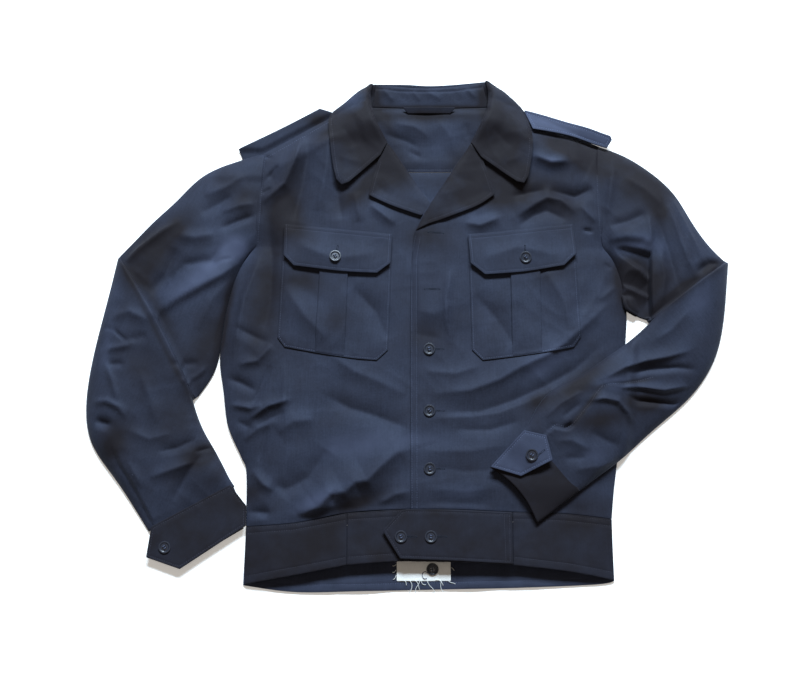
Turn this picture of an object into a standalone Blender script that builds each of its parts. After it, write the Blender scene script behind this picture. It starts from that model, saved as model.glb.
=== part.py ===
"""Military windbreaker jacket, laid flat on its back with the front up.

Lengths are in millimetres and MM turns them into Blender's metres. +X is the wearer's left,
+Y points from the hem to the collar, +Z is up, and the back panels lie on Z = 0.
Every cloth piece is a closed wall. A flat-lying piece is a sheet: its outline is cut along a
shared quilt of lines, so that sheets laid on each other keep an even gap. The sleeves and cuffs
are flattened tubes through rows of stations.
"""
import math

import bmesh
import bpy

MM = 0.001
LAID_CENTRE = (5.5, 14.3)   # middle of the laid jacket in the pattern's x, y: it becomes the origin

# Cloth and gaps
WALL = 1.5            # one panel with its turnings
DOUBLE = 1.8          # two layers sewn together: collar, lapels, waistband, tabs
GAP = 0.3             # between pieces that meet at a seam or lie on each other
QUILT = 30.0          # spacing of the shared cutting lines
BACK_QUILT = 90.0     # spacing on the back panel, which is flat

# How the jacket lies
LOFT = 13.0           # how far the fronts stand above the back
SIDE_RISE = 28.0      # how softly the fronts rise from the side seams
SHOULDER_RISE = 34.0  # how softly they rise from the shoulders
UNDERARM_Y = 112.0    # above this the fronts run on into the sleeves,
UNDERARM_FADE = 45.0  # wholly so this much farther up,
ARMHOLE_FULL = 45.0   # as if the side were this much farther away
WAIST_PULL = 3.0      # the waistband holds the fronts down by this much
WAIST_FADE = 35.0     # up to this far above it
NECK_LIFT = 4.0       # the back yoke lies on the folded collar by this much
NECK_LIFT_FROM = 246.0
NECK_LIFT_TO = 280.0
STRAP_LIFT = 2.0      # the right shoulder lies on its slipped strap by this much
STRAP_TUCK = 30.0     # this far below the shoulder line
LAP = 5.0             # the left front over the right front, buttons between
LAP_TO = 52.0         # full lap up to this x
LAP_FADE = 60.0       # and gone this much farther on
TUCK = 2.2            # the sleeve lies this much above the body it crosses

# Buttons
BUTTON_RADIUS = 7.6
BUTTON_HEIGHT = 2.4
BUTTON_RIM = 1.3
BUTTON_SIDES = 14
BUTTON_SHANK = 0.5    # thread between button and cloth

CORNER = True
ROUND = False
STEP = 20.0           # spacing of the points along a curved edge

NAVY = (0.030, 0.035, 0.056)
NAVY_DARK = (0.024, 0.027, 0.042)
BUTTON_BLUE = (0.012, 0.014, 0.022)
LABEL_WHITE = (0.62, 0.62, 0.60)

# Edges of the body, from the shoulder tip down: x, y
ARMHOLE_RIGHT = [(-185, 240), (-188, 190), (-190, 150), (-192, 117)]
ARMHOLE_LEFT = [(250, 250), (247, 210), (247, 170), (249, 135), (255, 112)]
SIDE_RIGHT = [(-192, 117), (-212, 85), (-224, 42), (-231, -6), (-232, -34), (-227, -67),
              (-220, -112), (-203, -150), (-196, -170), (-195, -235)]
SIDE_LEFT = [(255, 112), (266, 94), (274, 68), (276, 31), (273, -10), (266, -79),
             (260, -141), (253, -190), (249, -226)]
SHOULDER_RIGHT = [(-185, 240), (-101, 287), (-46, 313)]
SHOULDER_LEFT = [(108, 313), (160, 291), (250, 250)]
YOKE_SEAM_Y = 217.0
NECK_SEAM = [(-44, 304), (29, 302), (105, 304)]

# Waist seam and hems, from the right side to the left side: x, y
WAIST_SEAM = [(-195, -235), (-135, -231), (-71, -219), (-8, -215), (58, -215), (127, -218),
              (191, -220), (249, -226)]
FRONT_HEM = [(-197, -304), (-134, -293), (-71, -281), (-11, -277), (58, -278), (126, -281),
             (196, -289), (250, -299)]
BACK_HEM = [(-197, -305), (-134, -313), (-55, -312), (39, -310), (133, -308), (228, -304),
            (250, -300)]

# Roll lines of the open neck, from the collar down to the first button: x, y
ROLL_RIGHT = [(-44, 301), (-37, 277), (-26, 255), (-13, 237), (2, 213), (15, 193), (31, 172)]
ROLL_LEFT = [(104, 299), (90, 265), (78, 243), (63, 221), (48, 196), (31, 171), (20, 153),
             (10, 132)]
PLACKET_X = 5.0       # edge of the left front
UNDERLAP_X = 46.0     # edge of the right front, hidden under the left one
BUTTON_X = 27.0
BUTTON_YS = (131, 58, -18, -95, -166)
OPEN_BUTTONS = 2      # the upper ones are undone and lie under the left front


def smooth_line(points, step=STEP):
    """Points along a smooth curve through the given ones, ends included."""
    line = []
    last = len(points) - 1
    for i in range(last):
        before = points[max(i - 1, 0)]
        start = points[i]
        end = points[i + 1]
        after = points[min(i + 2, last)]
        length = math.dist(start, end)
        count = max(1, round(length / step))
        for k in range(count):
            t = k / count
            line.append(tuple(spline_value(before[a], start[a], end[a], after[a], t) for a in (0, 1)))
    line.append(tuple(points[-1]))
    return line


def spline_value(before, start, end, after, t):
    """A Catmull-Rom curve's value between start and end."""
    return 0.5 * (2 * start + (end - before) * t
                  + (2 * before - 5 * start + 4 * end - after) * t ** 2
                  + (3 * start - before - 3 * end + after) * t ** 3)


def outline(rows, step=STEP):
    """A closed outline from rows of x, y and whether the row is a corner."""
    first = next(i for i, row in enumerate(rows) if row[2])
    turned = list(rows[first:]) + list(rows[:first + 1])
    line = []
    run = [turned[0][:2]]
    for row in turned[1:]:
        run.append(row[:2])
        if row[2]:
            line += smooth_line(run, step)[:-1] if len(run) > 2 else run[:-1]
            run = [row[:2]]
    return line


def shifted(points, dx, dy):
    """The points moved by dx and dy."""
    return [(x + dx, y + dy) for x, y in points]


def across(line, x):
    """A line's y at x, for a line that runs from left to right."""
    return interpolate(x, [p[0] for p in line], [p[1] for p in line])


def down(line, y):
    """A line's x at y, for a line that runs downwards."""
    return interpolate(-y, [-p[1] for p in line], [p[0] for p in line])


def interpolate(at, places, values):
    """Straight interpolation, level beyond the ends."""
    if at <= places[0]:
        return values[0]
    for i in range(1, len(places)):
        if at <= places[i]:
            share = (at - places[i - 1]) / (places[i] - places[i - 1])
            return values[i - 1] + share * (values[i] - values[i - 1])
    return values[-1]


def ease(t):
    """A smooth step from 0 to 1."""
    t = min(max(t, 0.0), 1.0)
    return t * t * (3 - 2 * t)


RIGHT_EDGE = smooth_line(ARMHOLE_RIGHT) + smooth_line(SIDE_RIGHT)[1:] + [(-197, -305)]
LEFT_EDGE = smooth_line(ARMHOLE_LEFT) + smooth_line(SIDE_LEFT)[1:] + [(250, -300)]


def back_lift(x, y):
    """Height of the back's underside over the folded collar and the slipped shoulder strap."""
    over_collar = NECK_LIFT * ease((y - NECK_LIFT_FROM) / (NECK_LIFT_TO - NECK_LIFT_FROM))
    beside = ease((x + 250) / 20) * ease((-60 - x) / 20)
    over_strap = STRAP_LIFT * beside * ease((STRAP_TUCK + 12 - shoulder_drop(x, y)) / 12)
    return max(over_collar, over_strap)


def shoulder_drop(x, y):
    """Distance below the shoulder line, large where there is none."""
    if x < SHOULDER_RIGHT[-1][0]:
        return across(SHOULDER_RIGHT, x) - y
    if x > SHOULDER_LEFT[0][0]:
        return across(SHOULDER_LEFT, x) - y
    return 1000.0


def fullness(x, y):
    """How full the fronts are at a point: 0 at side seams and shoulders, 1 in the middle."""
    inset = max(min(x - down(RIGHT_EDGE, y), down(LEFT_EDGE, y) - x), 0.0)
    inset += ARMHOLE_FULL * ease((y - UNDERARM_Y) / UNDERARM_FADE)
    drop = max(shoulder_drop(x, y), 0.0)
    return (1 - math.exp(-inset / SIDE_RISE)) * (1 - math.exp(-drop / SHOULDER_RISE))


def quilted(height):
    """The height function made flat between the shared quilt lines."""
    known = {}

    def at_node(i, j):
        if (i, j) not in known:
            known[i, j] = height(i * QUILT, j * QUILT)
        return known[i, j]

    def flat(x, y):
        i = math.floor(x / QUILT)
        j = math.floor(y / QUILT)
        u = x / QUILT - i
        v = y / QUILT - j
        low = at_node(i, j)
        high = at_node(i + 1, j + 1)
        if u > v:
            side = at_node(i + 1, j)
            return low + u * (side - low) + v * (high - side)
        side = at_node(i, j + 1)
        return low + v * (side - low) + u * (high - side)

    return flat


def raised(height, by):
    """The height function raised by an even amount."""
    return lambda x, y: height(x, y) + by


def front_rise(x, y):
    """Underside of the right front."""
    full = fullness(x, y)
    held = WAIST_PULL * full * (1 - ease((y - across(WAIST_SEAM, x)) / WAIST_FADE))
    return WALL + GAP + back_lift(x, y) + LOFT * full - held


def lap_rise(x, y):
    """Underside of the left front, which lies over the right one at the placket."""
    return front_rise(x, y) + LAP * (1 - ease((x - LAP_TO) / LAP_FADE))


BACK_UNDER = quilted(back_lift)
RIGHT_UNDER = quilted(front_rise)
LEFT_UNDER = quilted(lap_rise)
RIGHT_TOP = raised(RIGHT_UNDER, WALL)
LEFT_TOP = raised(LEFT_UNDER, WALL)


def cloth_material(name, colour, roughness):
    """A plain finish for one kind of piece."""
    finish = bpy.data.materials.new(name)
    finish.use_nodes = True
    shader = finish.node_tree.nodes["Principled BSDF"]
    shader.inputs["Base Color"].default_value = (*colour, 1.0)
    shader.inputs["Roughness"].default_value = roughness
    shader.inputs["Metallic"].default_value = 0.0
    return finish


def add_object(name, bm, finish):
    """An object from the mesh, centred and in metres, with its own material."""
    bmesh.ops.translate(bm, vec=(-LAID_CENTRE[0], -LAID_CENTRE[1], 0.0), verts=bm.verts)
    bmesh.ops.scale(bm, vec=(MM, MM, MM), verts=bm.verts)
    bmesh.ops.recalc_face_normals(bm, faces=bm.faces)
    if bm.calc_volume(signed=True) < 0:
        bmesh.ops.reverse_faces(bm, faces=bm.faces)
    mesh = bpy.data.meshes.new(name)
    bm.to_mesh(mesh)
    bm.free()
    mesh.materials.append(cloth_material(name, *finish))
    part = bpy.data.objects.new(name, mesh)
    bpy.context.collection.objects.link(part)
    return part


def cut_along_lines(bm, spacing):
    """Cut a flat mesh along two families of lines and their diagonals."""
    places = [(v.co.x, v.co.y) for v in bm.verts]
    normals = ((1.0, 0.0, 0.0), (0.0, 1.0, 0.0), (1.0, -1.0, 0.0))
    for normal in normals:
        spread = [x * normal[0] + y * normal[1] for x, y in places]
        first = math.ceil(min(spread) / spacing)
        last = math.floor(max(spread) / spacing)
        for k in range(first, last + 1):
            point = (k * spacing * normal[0], 0.0, 0.0) if normal[0] else (0.0, k * spacing, 0.0)
            everything = bm.verts[:] + bm.edges[:] + bm.faces[:]
            bmesh.ops.bisect_plane(bm, geom=everything, dist=0.02, plane_co=point, plane_no=normal)


def sheet(name, edge, under, finish, thickness=WALL, spacing=QUILT):
    """A wall of even thickness over the height function, inside the outline."""
    flat = bmesh.new()
    flat.faces.new([flat.verts.new((x, y, 0.0)) for x, y in edge])
    cut_along_lines(flat, spacing)
    bmesh.ops.remove_doubles(flat, verts=flat.verts, dist=0.4)
    bmesh.ops.triangulate(flat, faces=flat.faces)
    flat.verts.index_update()

    bm = bmesh.new()
    low = [bm.verts.new((v.co.x, v.co.y, under(v.co.x, v.co.y))) for v in flat.verts]
    high = [bm.verts.new((v.co.x, v.co.y, v.co.z + thickness)) for v in low]
    for face in flat.faces:
        corners = [v.index for v in face.verts]
        bm.faces.new([high[i] for i in corners])
        bm.faces.new([low[i] for i in reversed(corners)])
    for side in flat.edges:
        if len(side.link_faces) == 1:
            a, b = (v.index for v in side.verts)
            bm.faces.new([low[a], low[b], high[b], high[a]])
    flat.free()
    bmesh.ops.triangulate(bm, faces=[f for f in bm.faces if len(f.verts) > 3])
    return add_object(name, bm, finish)


TUBE_SHARES = (0.0, 0.06, 0.22, 0.5, 0.78, 0.94, 1.0)


def arch(share):
    """Roundness of a flattened tube's top, from one folded edge to the other."""
    return (1 - abs(2 * share - 1) ** 3) ** 0.8


def tube_ring(station, rest, inset):
    """One loop round a flattened tube; inset moves it inwards for the inner wall."""
    outer_x, outer_y, inner_x, inner_y, outer_top, crown, inner_top, bow = station
    width = math.dist((outer_x, outer_y), (inner_x, inner_y))
    margin = 2.0 * inset / width
    along = ((outer_y - inner_y) / width, (inner_x - outer_x) / width)
    top = []
    bottom = []
    for share in TUBE_SHARES:
        s = min(max(share, margin), 1 - margin)
        bend = bow * 4 * s * (1 - s)
        x = outer_x + s * (inner_x - outer_x) + bend * along[0]
        y = outer_y + s * (inner_y - outer_y) + bend * along[1]
        base = rest(x, y)
        height = outer_top + s * (inner_top - outer_top) + crown * arch(share)
        top.append((x, y, base + height - inset))
        bottom.append((x, y, base + inset))
    return top + bottom[::-1]


def tube(name, stations, rest, finish, thickness=WALL):
    """A flattened tube, open at both ends, through the stations."""
    bm = bmesh.new()
    skins = []
    for inset in (0.0, thickness):
        loops = [[bm.verts.new(p) for p in tube_ring(s, rest, inset)] for s in stations]
        for near, far in zip(loops, loops[1:]):
            bridge(bm, near, far)
        skins.append(loops)
    for end in (0, -1):
        bridge(bm, skins[0][end], skins[1][end])
    bmesh.ops.triangulate(bm, faces=bm.faces)
    return add_object(name, bm, finish)


def bridge(bm, near, far):
    """Faces between two closed loops of the same length."""
    count = len(near)
    for i in range(count):
        j = (i + 1) % count
        bm.faces.new([near[i], near[j], far[j], far[i]])


def button(name, x, y, under, radius=BUTTON_RADIUS):
    """A round button with a bevelled rim and a sunk middle, just above what it is sewn on."""
    profile = [(radius - 0.6, 0.0), (radius, BUTTON_HEIGHT - 0.7), (radius - 0.7, BUTTON_HEIGHT),
               (radius - BUTTON_RIM - 0.7, BUTTON_HEIGHT), (radius - BUTTON_RIM - 1.6, BUTTON_HEIGHT - 0.8)]
    reach = radius * 0.7071
    base = BUTTON_SHANK + max(under(x + dx, y + dy) for dx in (-reach, 0, reach)
                              for dy in (-reach, 0, reach))
    bm = bmesh.new()
    loops = []
    for r, z in profile:
        turn = [2 * math.pi * k / BUTTON_SIDES for k in range(BUTTON_SIDES)]
        loops.append([bm.verts.new((x + r * math.cos(a), y + r * math.sin(a), base + z)) for a in turn])
    for near, far in zip(loops, loops[1:]):
        bridge(bm, near, far)
    bm.faces.new(loops[0])
    bm.faces.new(loops[-1])
    bmesh.ops.triangulate(bm, faces=bm.faces)
    return add_object(name, bm, (BUTTON_BLUE, 0.25))


def corners(points, first=None, last=None):
    """Rows for an outline: the ends are corners, the points between are round."""
    rows = [(x, y, ROUND) for x, y in points]
    rows[0] = (*points[0], CORNER if first is None else first)
    rows[-1] = (*points[-1], CORNER if last is None else last)
    return rows


CLOTH = (NAVY, 0.72)
LINED = (NAVY_DARK, 0.74)


def clipped(line, low_x, high_x):
    """The stretch of a left-to-right line between two x values, ends included."""
    inside = [p for p in line if low_x < p[0] < high_x]
    return [(low_x, across(line, low_x))] + inside + [(high_x, across(line, high_x))]


def build_back():
    """The back below the yoke seam, the yoke, and the back of the waistband."""
    seam_right = (down(RIGHT_EDGE, YOKE_SEAM_Y), YOKE_SEAM_Y)
    seam_left = (down(LEFT_EDGE, YOKE_SEAM_Y), YOKE_SEAM_Y)
    arm_right = [p for p in RIGHT_EDGE if 117 < p[1] < YOKE_SEAM_Y - 4]
    arm_left = [p for p in LEFT_EDGE if 112 < p[1] < YOKE_SEAM_Y - 4]
    panel = (corners([seam_right] + arm_right + [ARMHOLE_RIGHT[-1]])
             + corners(SIDE_RIGHT)[1:]
             + corners(SIDE_LEFT[::-1])
             + corners([ARMHOLE_LEFT[-1]] + arm_left[::-1] + [seam_left])[1:])
    sheet("back", outline(panel, 24), lambda x, y: 0.0, CLOTH, spacing=BACK_QUILT)

    up = YOKE_SEAM_Y + GAP
    yoke = (corners(SHOULDER_RIGHT) + corners(NECK_SEAM)
            + corners(SHOULDER_LEFT) + [(248, 232, ROUND), (247.4, up, CORNER), (-186.4, up, CORNER)])
    sheet("back_yoke", outline(yoke), BACK_UNDER, CLOTH)

    low = [(x, y - 1.0) for x, y in (WAIST_SEAM[0], WAIST_SEAM[-1])]
    waist = corners(BACK_HEM) + [(*low[1], CORNER), (*low[0], CORNER)]
    sheet("waistband_back", outline(waist, 24), lambda x, y: 0.0, LINED, DOUBLE - 0.3, BACK_QUILT)


def build_fronts():
    """The right front, and the left front lying over it at the placket."""
    seam = shifted(WAIST_SEAM, 0.0, 0.2)
    right = (corners(ROLL_RIGHT)
             + [(UNDERLAP_X, 148, CORNER)]
             + corners(clipped(seam, seam[0][0], UNDERLAP_X)[::-1])
             + corners(SIDE_RIGHT[::-1])[1:]
             + corners(ARMHOLE_RIGHT[::-1])[1:]
             + corners(SHOULDER_RIGHT)[1:])
    sheet("front_right", outline(right), RIGHT_UNDER, CLOTH)

    left = (corners(ROLL_LEFT)
            + [(PLACKET_X, 44, ROUND)]
            + corners(clipped(seam, PLACKET_X, seam[-1][0]))
            + corners(SIDE_LEFT[::-1])[1:]
            + corners(ARMHOLE_LEFT[::-1])[1:]
            + corners(SHOULDER_LEFT[::-1])[1:])
    sheet("front_left", outline(left), LEFT_UNDER, CLOTH)


RIGHT_SEAM_X = -72.0   # waistband joins on the right front
LEFT_SEAM_X = 128.0    # and on the left front, where the tab starts


def build_waistband():
    """The front of the waistband in four lengths, and the pointed tab that closes it."""
    seam = shifted(WAIST_SEAM, 0.0, -0.2)
    half = GAP / 2
    lengths = (("waistband_right_side", seam[0][0], RIGHT_SEAM_X - half, RIGHT_UNDER),
               ("waistband_right_front", RIGHT_SEAM_X + half, UNDERLAP_X, RIGHT_UNDER),
               ("waistband_left_front", PLACKET_X, LEFT_SEAM_X - half, LEFT_UNDER),
               ("waistband_left_side", LEFT_SEAM_X + half, seam[-1][0], LEFT_UNDER))
    for name, low_x, high_x, under in lengths:
        top = clipped(seam, low_x, high_x)
        hem = clipped(FRONT_HEM, low_x, high_x)[::-1]
        sheet(name, outline(corners(top) + corners(hem)), under, LINED, DOUBLE)

    rows = [(-29, -241, CORNER), (-6, -216, CORNER), (0, -215, CORNER), (58, -216, ROUND),
            (127, -219, CORNER), (127, -280, CORNER), (58, -276.5, ROUND), (-8, -274, CORNER)]
    over = raised(LEFT_UNDER, DOUBLE + GAP)
    sheet("waist_tab", outline(rows), over, LINED, DOUBLE)
    for k, x in enumerate((-7, 29)):
        button(f"button_waist_{k + 1}", x, -248, raised(over, DOUBLE))


COLLAR_STANDS = 10.0   # the collar's roll stands this much above the fronts
STAND_FROM = 236.0     # from this y, below the lapel's top
STAND_EASE = 46.0
STAND_TO = 341.0       # to this y, behind the neck
STAND_END = 30.0
STAND_REACH = 64.0     # and it has come down this far from the roll

POCKET_THICKNESS = 1.2
PLEAT_THICKNESS = 1.2
FLAP_THICKNESS = 2.0
FLAP_CLEAR = POCKET_THICKNESS + PLEAT_THICKNESS + 3 * GAP

# Pocket outlines and box pleats: x, y, corner
POCKET_RIGHT = [(-155, 128, CORNER), (-18, 116, CORNER), (-23, -19, CORNER), (-37, -32, CORNER),
                (-79, -28, ROUND), (-151, -15, CORNER), (-160, -3, CORNER)]
PLEAT_RIGHT = [(-107, 121, CORNER), (-72, 118, CORNER), (-77, -25, CORNER), (-113, -19, CORNER)]
FLAP_RIGHT = [(-154, 143, CORNER), (-18, 129, CORNER), (-20, 91, CORNER), (-37, 78, CORNER),
              (-88, 81, ROUND), (-141, 88, CORNER), (-154, 102, CORNER)]
POCKET_LEFT = [(78, 114, CORNER), (212, 126, CORNER), (216, -2, CORNER), (207, -15, CORNER),
               (169, -23, ROUND), (94, -32, CORNER), (81, -19, CORNER)]
PLEAT_LEFT = [(130, 118, CORNER), (167, 121, CORNER), (167, -20, CORNER), (131, -26, CORNER)]
FLAP_LEFT = [(77, 128, CORNER), (210, 143, CORNER), (213, 104, CORNER), (197, 88, CORNER),
             (148, 80, ROUND), (98, 76, CORNER), (80, 90, CORNER)]


def build_pockets():
    """Patch pockets with a box pleat and a buttoned flap, on both fronts."""
    sides = (("right", RIGHT_TOP, POCKET_RIGHT, PLEAT_RIGHT, FLAP_RIGHT, (-89, 99)),
             ("left", LEFT_TOP, POCKET_LEFT, PLEAT_LEFT, FLAP_LEFT, (149, 98)))
    for side, panel, pocket, pleat, flap, place in sides:
        on_panel = raised(panel, GAP)
        on_pocket = raised(on_panel, POCKET_THICKNESS + GAP)
        on_pleat = raised(panel, FLAP_CLEAR)
        sheet(f"pocket_{side}", outline(pocket), on_panel, CLOTH, POCKET_THICKNESS)
        sheet(f"pocket_pleat_{side}", outline(pleat), on_pocket, CLOTH, PLEAT_THICKNESS)
        sheet(f"pocket_flap_{side}", outline(flap), on_pleat, LINED, FLAP_THICKNESS)
        button(f"button_flap_{side}", *place, raised(on_pleat, FLAP_THICKNESS))


def build_front_buttons():
    """Five front buttons; the undone ones lie between the fronts."""
    for k, y in enumerate(BUTTON_YS):
        hidden = k < OPEN_BUTTONS
        button(f"button_front_{k + 1}", BUTTON_X + 1, y, RIGHT_TOP if hidden else LEFT_TOP)


def stood(height, by, roll):
    """The height function raised, and more so at the collar's roll, where its stand holds it up."""
    rolled = smooth_line(roll)

    def height_of(x, y):
        near = min(math.dist((x, y), place) for place in rolled)
        up = ease((y - STAND_FROM) / STAND_EASE) * ease((STAND_TO - y) / STAND_END)
        return height(x, y) + by + COLLAR_STANDS * up * max(1 - near / STAND_REACH, 0.0)

    return height_of


def build_lapels():
    """The facings turned out below the collar."""
    rows = (corners([(-24, 251), (-13, 237), (2, 213), (15, 193), (30, 170)])
            + [(24, 156, CORNER), (18, 154, CORNER), (-19, 167, ROUND), (-48, 181, CORNER),
               (-43, 202, ROUND), (-36, 227, CORNER)])
    sheet("lapel_right", outline(rows), stood(RIGHT_TOP, GAP, ROLL_RIGHT), LINED, WALL - 0.1)
    rows = (corners([(82, 250), (78, 243), (63, 221), (48, 196), (31, 171), (20, 153), (10, 133)])
            + [(28, 142, ROUND), (52, 150, ROUND), (89, 166, ROUND), (112, 182, CORNER),
               (103, 212, ROUND), (97, 229, CORNER)])
    sheet("lapel_left", outline(rows), stood(LEFT_TOP, GAP, ROLL_LEFT), LINED, WALL - 0.1)


# Collar fall: x, y, corner. Its leaves lie on the fronts and its back lies folded under the neck
LEAF_RIGHT = [(-33, 234, CORNER), (-24, 252, CORNER), (-37, 277, ROUND), (-44, 301, ROUND),
              (-46, 322, ROUND), (-42, 338, CORNER), (-61, 324, ROUND), (-79, 308, ROUND),
              (-94, 297, ROUND), (-100, 286, ROUND), (-98, 260, ROUND), (-94, 224, ROUND),
              (-89, 201, CORNER), (-82, 194, CORNER), (-73, 197, CORNER)]
LEAF_LEFT = [(95, 231, CORNER), (82, 251, CORNER), (92, 270, ROUND), (103, 295, ROUND),
             (106, 322, ROUND), (101, 342, CORNER), (126, 323, ROUND), (148, 302, ROUND),
             (158, 283, ROUND), (161, 256, ROUND), (160, 235, ROUND), (155, 206, CORNER),
             (149, 196, CORNER), (140, 198, CORNER)]
FALL_BACK = [(-43, 337, CORNER), (0, 335, ROUND), (29, 333.5, ROUND), (62, 335, ROUND),
             (101, 341, CORNER), (122, 324, ROUND), (132, 302, ROUND), (106, 290, ROUND),
             (29, 283, ROUND), (-46, 290, ROUND), (-72, 302, ROUND), (-60, 322, ROUND)]
LEAF_CLEAR = WALL + 2 * GAP
ROLL_Y = 318.0        # the back of the fall rises from here to the roll
ROLL_RISE = 4.6
STAND_RISE = 3.2


def build_collar():
    """The fall, turned down all round the neck, and the stand that shows inside it."""
    sheet("collar_fall_right", outline(LEAF_RIGHT), stood(RIGHT_TOP, LEAF_CLEAR, ROLL_RIGHT), LINED,
          DOUBLE)
    sheet("collar_fall_left", outline(LEAF_LEFT), stood(LEFT_TOP, LEAF_CLEAR, ROLL_LEFT), LINED, DOUBLE)
    rolled = quilted(lambda x, y: ROLL_RISE * ease((y - ROLL_Y) / 18))
    sheet("collar_fall_back", outline(FALL_BACK), rolled, LINED, DOUBLE)

    rows = (corners(shifted(NECK_SEAM, 0.0, GAP))
            + corners([(99, 336), (62, 331), (29, 329), (0, 330), (-39, 334)]))
    tilt = quilted(lambda x, y: NECK_LIFT + STAND_RISE * ease((y - 300) / 30) + GAP)
    sheet("collar_stand", outline(rows), tilt, LINED, WALL)
    loop = [(-5, 303, CORNER), (64, 303, CORNER), (57, 293, CORNER), (2, 293, CORNER)]
    sheet("hanger_loop", outline(loop), raised(BACK_UNDER, WALL + 3.4), LINED, 1.2)


EPAULETTE_RIGHT = [(-112, 303, CORNER), (-93, 297, CORNER), (-97, 272, CORNER), (-196, 219, CORNER),
                   (-207, 226, CORNER), (-216, 248, CORNER), (-161, 276, ROUND)]
EPAULETTE_LEFT = [(160, 297, CORNER), (176, 291, ROUND), (204, 282, ROUND), (235, 273, ROUND),
                  (262, 263, CORNER), (264, 258, CORNER), (257, 247, CORNER), (214, 261, ROUND),
                  (186, 266, ROUND), (163, 269, CORNER)]
EPAULETTE_RISE = 2.4


def build_epaulettes():
    """Shoulder straps: the right one has slipped behind the shoulder, the left one lies on it."""
    sheet("epaulette_right", outline(EPAULETTE_RIGHT), lambda x, y: 0.0, LINED, 1.4)
    over = quilted(lambda x, y: lap_rise(x, y) + WALL + EPAULETTE_RISE)
    sheet("epaulette_left", outline(EPAULETTE_LEFT), over, LINED, 1.8)


# Sleeves, from the armhole to the cuff. Columns: outer edge x, y; inner edge x, y; height of
# the cloth at the outer edge, its extra height between, height at the inner edge; and how far
# the row bows towards the hand. Two rows close together are the fold that crosses the elbow.
SLEEVE_RIGHT = [
    (-186.5, 241, -193.5, 117, 5, 9, 5, 0),
    (-218, 226, -209, 94, 5, 10, 5, 0),
    (-250, 214, -222, 66, 5, 10, 5, 0),
    (-270, 198, -229, 36, 5, 10, 5, 0),
    (-292, 172, -234, 4, 5, 10, 5, 0),
    (-318, 150, -237, -20, 5, 9, 5, 0),
    (-340, 126, -244, -45, 5, 8, 5, 0),
    (-358, 106, -261, -69, 5, 7, 5, 0),
    (-362, 101, -267, -75, 6, 13, 11, 0),
    (-368, 70, -264, -85, 6, 13, 10, 0),
    (-376, 32, -260, -95, 6, 12, 8, 0),
    (-386, -15, -254, -109, 6, 12, 7, 0),
    (-393, -62, -247, -123, 6, 12, 6, 0),
    (-394, -100, -240, -134, 5, 12, 6, 0),
    (-387, -134, -234, -144, 5, 11, 6, 0),
    (-370, -160, -229, -153, 5, 11, 6, 0),
    (-350, -186, -224, -162, 5, 10, 6, 0),
    (-330, -212, -219, -172, 5, 8, 6, 0),
    (-308, -232, -214, -182, 5, 6, 6, 0)]
CUFF_RIGHT = [
    (-307.5, -233, -213.5, -182.5, 5, 1, 5, 0),
    (-296, -254, -202, -205, 5, 1, 5, 0),
    (-276, -283, -198, -237, 5, 0.5, 5, 0)]
CUFF_TAB_RIGHT = [(-309, -235, CORNER), (-257, -207, ROUND), (-215, -184.5, CORNER),
                  (-198, -206, CORNER), (-197.5, -236, CORNER), (-273, -286, CORNER),
                  (-314, -272, CORNER)]
SLEEVE_LEFT = [
    (251.5, 251, 257, 111, 5, 9, 5, -6),
    (282, 234, 268, 92, 5, 12, 4, 0),
    (316, 208, 276, 68, 5, 13, 4, 0),
    (341, 183, 278, 48, 5, 13, 4, 0),
    (359, 154, 279, 35, 5, 13, 4, 0),
    (375, 130, 286, 29, 5, 12, 4, 0),
    (388, 112, 294, 24, 5, 11, 5, 0),
    (401, 100, 301, 20, 5, 9, 5, 0),
    (405, 96, 304, 15, 6, 15, 12, 0),
    (401, 72, 291, 4, 6, 15, 10, 0),
    (397, 35, 275, -9, 6, 14, 8, 0),
    (391, 1, 257, -23, 6, 14, 7, 0),
    (382, -28, 239, -35, 6, 13, 6, 0),
    (367, -57, 221, -47, 5, 13, 6, 0),
    (348, -80, 203, -56, 5, 12, 6, 0),
    (322, -102, 186, -64, 5, 11, 6, 0),
    (295, -124, 172, -75, 5, 10, 6, 0),
    (268, -150, 161, -88, 5, 8, 6, 0),
    (238, -172, 153, -102, 5, 6, 6, 0),
    (210, -192, 147, -116, 5, 4, 6, 0)]
CUFF_LEFT = [
    (209.5, -192.8, 146.5, -116.8, 5, 1, 5, 0),
    (184, -212, 124, -140, 5, 1, 5, -3),
    (157, -232, 101, -165, 5, 0.5, 5, -8)]
CUFF_TAB_LEFT = [(101, -165, CORNER), (142, -121, CORNER), (169, -127, CORNER),
                 (176, -157, CORNER), (138, -176, CORNER)]
OVER_BODY_FADE = 14.0
CUFF_THICK = 6.8       # the left cuff, pressed flat
SLEEVE_END_THICK = 4.7  # and how much more the sleeve stands up beside it


def over_left_front(x, y):
    """What the left forearm rests on: the left front, then the floor beyond the side seam."""
    beyond = x - down(LEFT_EDGE, y)
    if beyond > 0:
        return (WALL + TUCK + WALL) * (1 - ease((beyond - 4) / OVER_BODY_FADE))
    return LEFT_TOP(x, y) + TUCK


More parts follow.
